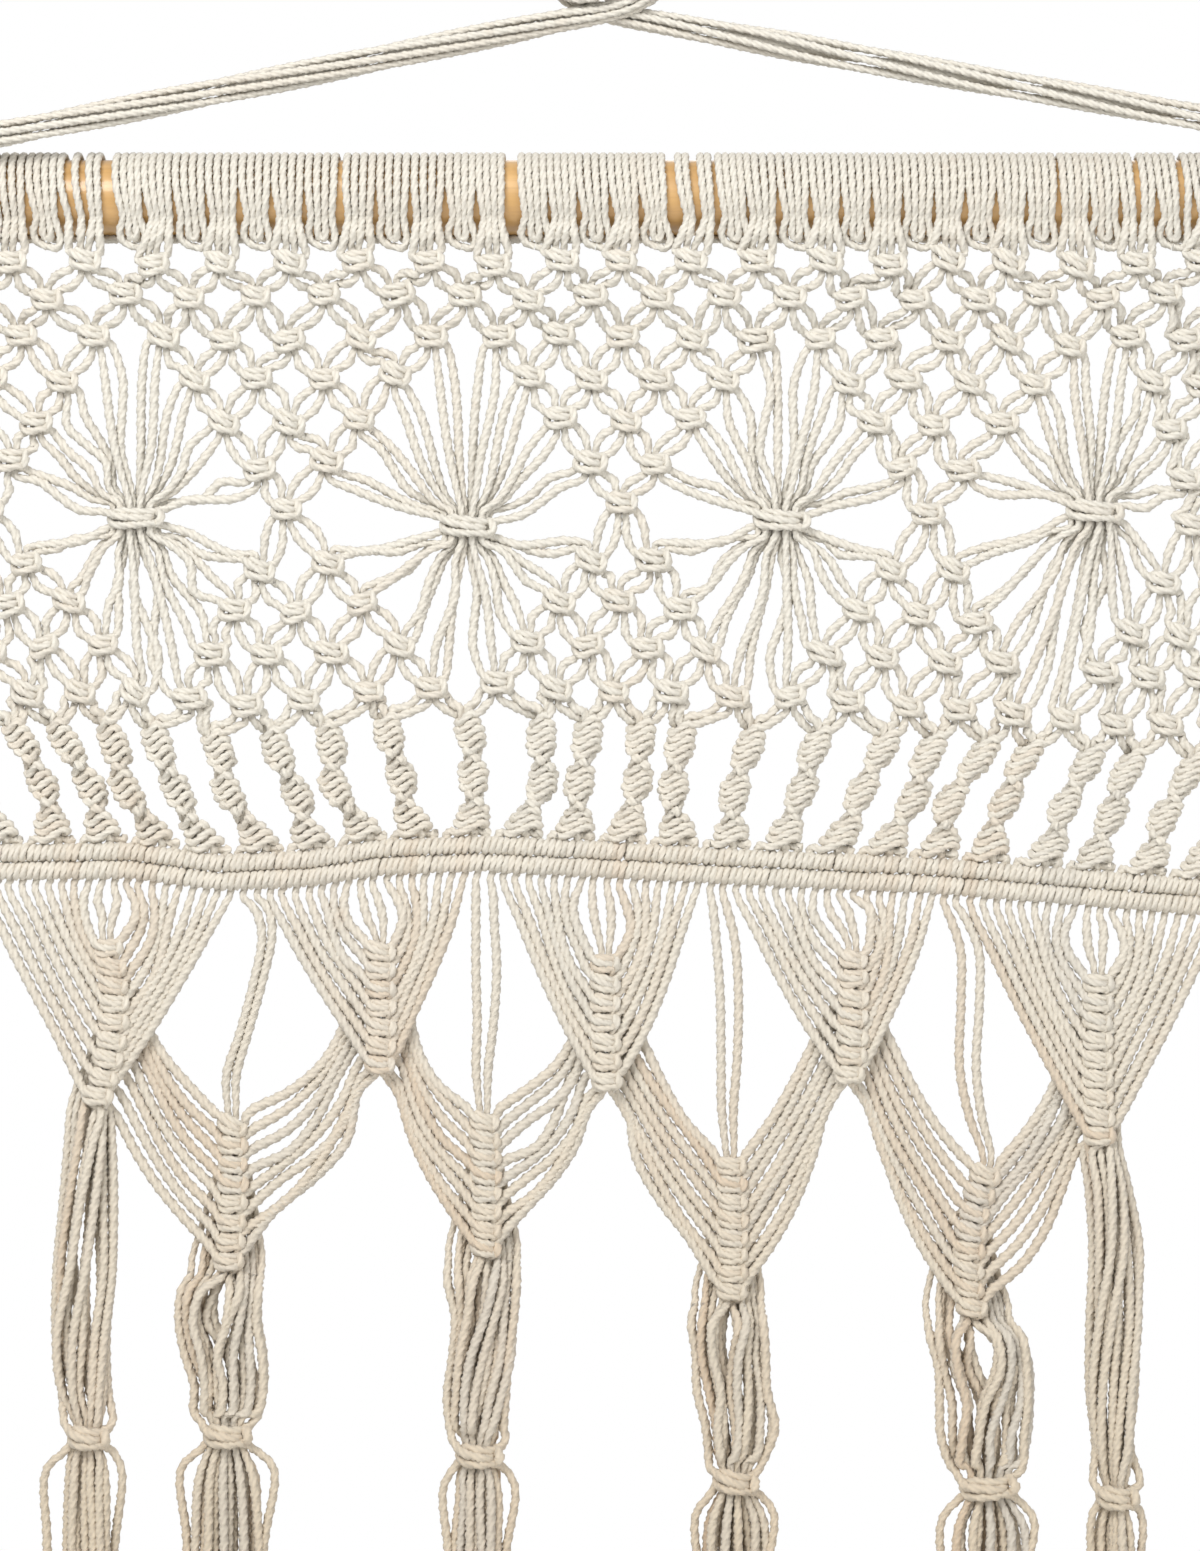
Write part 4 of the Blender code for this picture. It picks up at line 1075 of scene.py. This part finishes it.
class Socket:
    """A node's output, with the operators that add Math nodes to its tree."""

    def __init__(self, tree, output):
        self.tree = tree
        self.output = output

    def math(self, operation, *others, clamp=False):
        """A Math node on this value and others."""
        node = self.tree.add("ShaderNodeMath", {"operation": operation, "use_clamp": clamp},
                             dict(enumerate((self, *others))))
        return node[0]

    def clamped(self, gain=1.0):
        """This value times a gain, held between 0 and 1."""
        return self.math("MULTIPLY", gain, clamp=True)

    def __add__(self, other):
        return self.math("ADD", other)

    def __sub__(self, other):
        return self.math("SUBTRACT", other)

    def __mul__(self, other):
        return self.math("MULTIPLY", other)

    def __truediv__(self, other):
        return self.math("DIVIDE", other)

    def __pow__(self, other):
        return self.math("POWER", other)

    def __rsub__(self, other):
        return self.tree.add("ShaderNodeMath", {"operation": "SUBTRACT"},
                             {0: other, 1: self})[0]

    __radd__ = __add__
    __rmul__ = __mul__


class Tree:
    """A material's nodes, added by type, settings and the values or links of their sockets."""

    def __init__(self, name):
        self.material = bpy.data.materials.new(name)
        self.material.use_nodes = True
        self.nodes = self.material.node_tree.nodes
        self.links = self.material.node_tree.links
        self.shader = self.nodes["Principled BSDF"]

    def fill(self, node, sockets):
        """Give a node's inputs their values or links."""
        for key, value in sockets.items():
            if isinstance(value, Socket):
                self.links.new(value.output, node.inputs[key])
            else:
                node.inputs[key].default_value = value

    def add(self, kind, settings=None, sockets=None):
        """A new node's outputs, by number and by name."""
        node = self.nodes.new(kind)
        for key, value in (settings or {}).items():
            setattr(node, key, value)
        self.fill(node, sockets or {})
        outputs = {output.name: Socket(self, output) for output in node.outputs}
        outputs.update({k: Socket(self, output) for k, output in enumerate(node.outputs)})
        return outputs

    def mix(self, share, first, second):
        """A colour between two, the second given as red, green and blue."""
        return self.add("ShaderNodeMix", {"data_type": "RGBA"},
                        {0: share, 6: first, 7: (*second, 1.0)})[2]

    def noise(self, place, scale, detail, roughness=0.5, distortion=0.0):
        """A noise pattern's value at a place."""
        return self.add("ShaderNodeTexNoise", None, {
            "Vector": place, "Scale": scale, "Detail": detail, "Roughness": roughness,
            "Distortion": distortion})[0]

    def bump(self, strength, distance, height):
        """A normal that leans with a height pattern."""
        return self.add("ShaderNodeBump", None, {
            "Strength": strength, "Distance": distance, "Height": height})["Normal"]


def cotton_finish():
    """Natural cotton: cream, warmer lower down, with plies, fibres, soft stains and sheen, and
    painted shade: darker ply grooves and grey on some strings lower down.
    """
    tree = Tree("cotton_string")
    ply = tree.add("ShaderNodeUVMap", {"uv_map": "ply"})["UV"]
    parts = tree.add("ShaderNodeSeparateXYZ", None, {0: ply})
    along, around = parts["X"], parts["Y"]
    tone = tree.add("ShaderNodeAttribute", {"attribute_name": "tone"})["Fac"]
    place = tree.add("ShaderNodeTexCoord")["Object"]
    height = tree.add("ShaderNodeSeparateXYZ", None, {0: place})["Z"]
    groove = (around * (2 * math.pi * 3)).math("COSINE") * 0.5 + 0.5
    fibre_place = tree.add("ShaderNodeCombineXYZ", None, {
        "X": along * 3.0, "Y": (around + along) * 22.0, "Z": tone * 40.0})["Vector"]
    fibres = tree.noise(fibre_place, 1.0, 3.0, 0.6)
    patches = tree.noise(place, 17.0, 2.0)
    stains = tree.noise(place, 75.0, 3.0, 0.55)
    low = ((-0.24 - height) / 0.32).clamped()
    colour = tree.mix(low ** 1.25, (0.742, 0.706, 0.625, 1.0), (0.625, 0.525, 0.39))
    for share, shade in (
            ((patches - 0.52).clamped(4.0) * 0.4 * (low + 0.25), (0.66, 0.53, 0.41)),
            ((tone - 0.6).clamped(2.5) * (low + 0.15) * 0.8, (0.60, 0.455, 0.315)),
            # Painted shade: grey on strings of low tone, more of it lower down.
            ((0.4 - tone).clamped(2.5) * (low + 0.15) * 0.45, (0.55, 0.54, 0.51)),
            ((stains - 0.65).clamped(5.0) * 0.5, (0.62, 0.50, 0.38)),
            # Painted shade: the ply grooves are darkened in the colour.
            ((1.0 - groove) ** 3.0 * 0.3, (0.42, 0.37, 0.30)),
            ((0.6 - fibres).clamped(1.6) * 0.45, (0.56, 0.51, 0.43))):
        colour = tree.mix(share, colour, shade)
    bump = tree.bump(0.6, 0.0006, groove * 0.6 + fibres * 0.45)
    tree.fill(tree.shader, {"Base Color": colour, "Normal": bump, "Roughness": 0.92,
                            "Sheen Weight": 0.2, "Sheen Roughness": 0.6,
                            "Specular IOR Level": 0.2})
    return tree.material


def wood_finish():
    """Light wood under clear lacquer: long grain lines and a few darker pores."""
    tree = Tree("lacquered_wood")
    place = tree.add("ShaderNodeTexCoord")["Object"]
    stretched, fine = (
        tree.add("ShaderNodeMapping", None, {"Vector": place, "Scale": scale})["Vector"]
        for scale in ((5.0, 55.0, 55.0), (28.0, 900.0, 900.0)))
    bands = tree.noise(stretched, 1.6, 4.0, 0.62, 0.6)
    pores = tree.noise(fine, 1.0, 2.0)
    base = tree.mix((bands - 0.3).clamped(2.2), (0.50, 0.285, 0.095, 1.0), (0.68, 0.425, 0.17))
    colour = tree.mix((pores - 0.56).clamped(4.0) * 0.45, base, (0.36, 0.19, 0.06))
    bump = tree.bump(0.15, 0.0002, pores)
    tree.fill(tree.shader, {"Base Color": colour, "Normal": bump,
                            "Roughness": 0.34 + bands * 0.12,
                            "Coat Weight": 0.6, "Coat Roughness": 0.16})
    return tree.material


def build_rod():
    """The rod: a profile of x and radius with rounded ends, turned about the x axis."""
    edge = 2.0
    sides = 72
    round_off = np.linspace(math.pi / 2, 0.0, 6)
    xs = -ROD_HALF_LENGTH + edge * (1 - np.sin(round_off))
    radii = ROD_RADIUS - edge * (1 - np.cos(round_off))
    middle = np.linspace(-ROD_HALF_LENGTH + edge, ROD_HALF_LENGTH - edge, 61)[1:-1]
    profile_x = np.concatenate((xs, middle, -xs[::-1]))
    profile_r = np.concatenate((radii, np.full(len(middle), ROD_RADIUS), radii[::-1]))
    angle = np.arange(sides) * 2 * math.pi / sides
    grid = np.stack(np.broadcast_arrays(
        profile_x[:, None], profile_r[:, None] * np.cos(angle),
        profile_r[:, None] * np.sin(angle) - ROD_DROP), axis=2)
    rings = len(profile_x)
    along, around = quads_between(rings, sides)
    outward = (along * sides + around % sides)[..., [0, 3, 2, 1]].reshape(-1, 4)
    first = np.arange(sides)
    faces = outward.tolist() + [first.tolist(), ((rings - 1) * sides + first[::-1]).tolist()]
    mesh = bpy.data.meshes.new("wooden_rod")
    mesh.from_pydata((grid.reshape(-1, 3) * MM).tolist(), [], faces)
    finish_mesh(mesh, wood_finish(), 50)
    thing = new_object("wooden_rod", mesh)
    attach(thing, "root")
    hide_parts("rod")


def set_stage():
    """Floor, world, lights and camera."""
    floor_mesh = bpy.data.meshes.new("floor")
    reach = 1.5
    level = -1.0
    corners = ((-1, -1), (1, -1), (1, 1), (-1, 1))
    floor_mesh.from_pydata([(x * reach, y * reach, level) for x, y in corners], [],
                           [(0, 1, 2, 3)])
    floor = new_object("floor", floor_mesh)
    pale = Tree("pale_floor")
    pale.fill(pale.shader, {"Base Color": (0.86, 0.86, 0.85, 1.0), "Roughness": 0.8})
    floor_mesh.materials.append(pale.material)

    # A world that looks white to the camera, and lights the piece less strongly than that.
    scene = bpy.context.scene
    world = bpy.data.worlds.new("white_room")
    scene.world = world
    world.use_nodes = True
    nodes, links = world.node_tree.nodes, world.node_tree.links
    seen = nodes.new("ShaderNodeLightPath")
    strength = nodes.new("ShaderNodeMapRange")
    strength.inputs["To Min"].default_value = 0.595
    strength.inputs["To Max"].default_value = 1.0
    links.new(seen.outputs["Is Camera Ray"], strength.inputs["Value"])
    links.new(strength.outputs["Result"], nodes["Background"].inputs["Strength"])
    nodes["Background"].inputs["Color"].default_value = (1.0, 1.0, 1.0, 1.0)
    scene.view_settings.view_transform = "Standard"

    for name, place, size, power in (
            ("key", (-0.7, -1.5, 0.8), 1.0, 30.0), ("fill", (1.2, -1.6, 0.1), 1.2, 10.0),
            ("back", (0.6, 1.6, 0.6), 1.4, 9.0)):
        light = bpy.data.lights.new(name, "AREA")
        light.size = size
        light.energy = power
        lamp = new_object(name, light)
        lamp.location = place
        aim = np.array((0.0, 0.0, -0.3)) - place
        flat = math.hypot(aim[0], aim[1])
        lamp.rotation_euler = (math.pi / 2 + math.atan2(aim[2], flat), 0.0,
                               math.atan2(-aim[0], aim[1]))

    camera_data = bpy.data.cameras.new("camera")
    camera_data.sensor_fit = "VERTICAL"
    camera_data.sensor_height = 36.0
    distance = 1500.0
    frame_height = 517.0
    middle_x, middle_z = -2.67, -293.5
    camera_data.lens = camera_data.sensor_height * distance / frame_height
    camera = new_object("camera", camera_data)
    camera.location = (middle_x * MM, -distance * MM, middle_z * MM)
    camera.rotation_euler = (math.pi / 2, 0.0, 0.0)
    scene.camera = camera


knots = place_net_knots()
star_knots = {star: Knot(star_middle(star), STAR_KNOT,
                         math.radians(rng.normal() * 4.0)) for star in STAR_DROPS}
upper_leaves = [Leaf(row, 0.0) for row in UPPER_LEAVES]
lower_leaves = [Leaf(row, LOWER_LEAF_Y) for row in LOWER_LEAVES]
tie_knots = {}
for number, (tie_x, tie_drop, *_) in enumerate(TASSELS, start=1):
    tie_knots[number] = Knot((tie_x, TASSEL_Y, -tie_drop),
                             ((TASSEL_SHAPES[number - 1][0] - 3.2) / 9.0, 2.0, 1.1),
                             math.radians(rng.normal() * 5.0), 0.15)
strand_part = sort_strands()

routes = []
for strand in range(STRANDS):
    route = Route()
    unit, member = divmod(strand, 4)
    mount_on_rod(route, unit, member)
    knit_net(route, strand, knots, star_knots)
    route.mark("sinnet")
    knot_sinnet(route, strand, unit)
    route.mark("bars")
    hitch_on_bars(route, strand)
    route.mark("leaf")
    finish_below(route, strand)
    routes.append(route)

strings = [String(route) for route in routes]
cores = [String(core_route(bar)) for bar in (0, 1)]
hanger = [String(route) for route in bundle_routes()]
wraps = [String(wrap_route(*row)) for row in HANGER_LEGS]
everything = strings + cores + hanger + wraps
skin_strings(everything)
for string in everything:
    string.tone = float(rng.uniform())
# Strings are warmer on a tassel's left and greyer on its right: the warm tone is the strings'
# own, and the grey is painted shade.
for string, route in zip(strings, routes):
    string.tone = float(np.clip(0.5 - 0.42 * route.across + 0.16 * rng.normal(), 0.0, 1.0))

cotton = cotton_finish()
build_rod()

NET = "net_with_sinnets_and_band"
add_piece("rod_hitches", [(s, 0, s.cuts["net_top"]) for s in strings], "mounting_knots")
for name, first, last in (("net_upper_rows", "net_top", "net_high"),
                          ("net_star_rows", "net_high", "net_low"),
                          ("net_lower_rows", "net_low", "sinnet"),
                          ("spiral_sinnets", "sinnet", "bars")):
    add_piece(name, [(s, s.cuts[first], s.cuts[last]) for s in strings], NET)
add_piece("hitched_bars", [(s, s.cuts["bars"], s.cuts["leaf"]) for s in strings]
          + [whole(core) for core in cores], NET)

# Below the band each string runs from one part's mark to the next one's, or to its end.
part_runs = {f"{label}_{number}": [] for label, count in (
    ("upper_leaf", len(UPPER_LEAVES)), ("lower_leaf", len(LOWER_LEAVES)),
    ("tassel", len(TASSELS))) for number in range(1, count + 1)}
for strand, string in enumerate(strings):
    kind, number, _ = strand_part[strand]
    cuts = [(f"{'lower' if kind == 'pair' else 'upper'}_leaf_{number + 1}", string.cuts["leaf"])]
    cuts += [cut for cut in string.cuts.items() if cut[0] in part_runs]
    ends = [ring for _, ring in cuts[1:]] + [len(string.rings) - 1]
    for (node, first), last in zip(cuts, ends):
        part_runs[node].append((string, first, last))
for node, runs in part_runs.items():
    add_piece(f"{node}_strings", runs, node)
add_piece("hanging_cord_strings", [whole(s) for s in hanger + wraps], "hanging_cord")

set_stage()
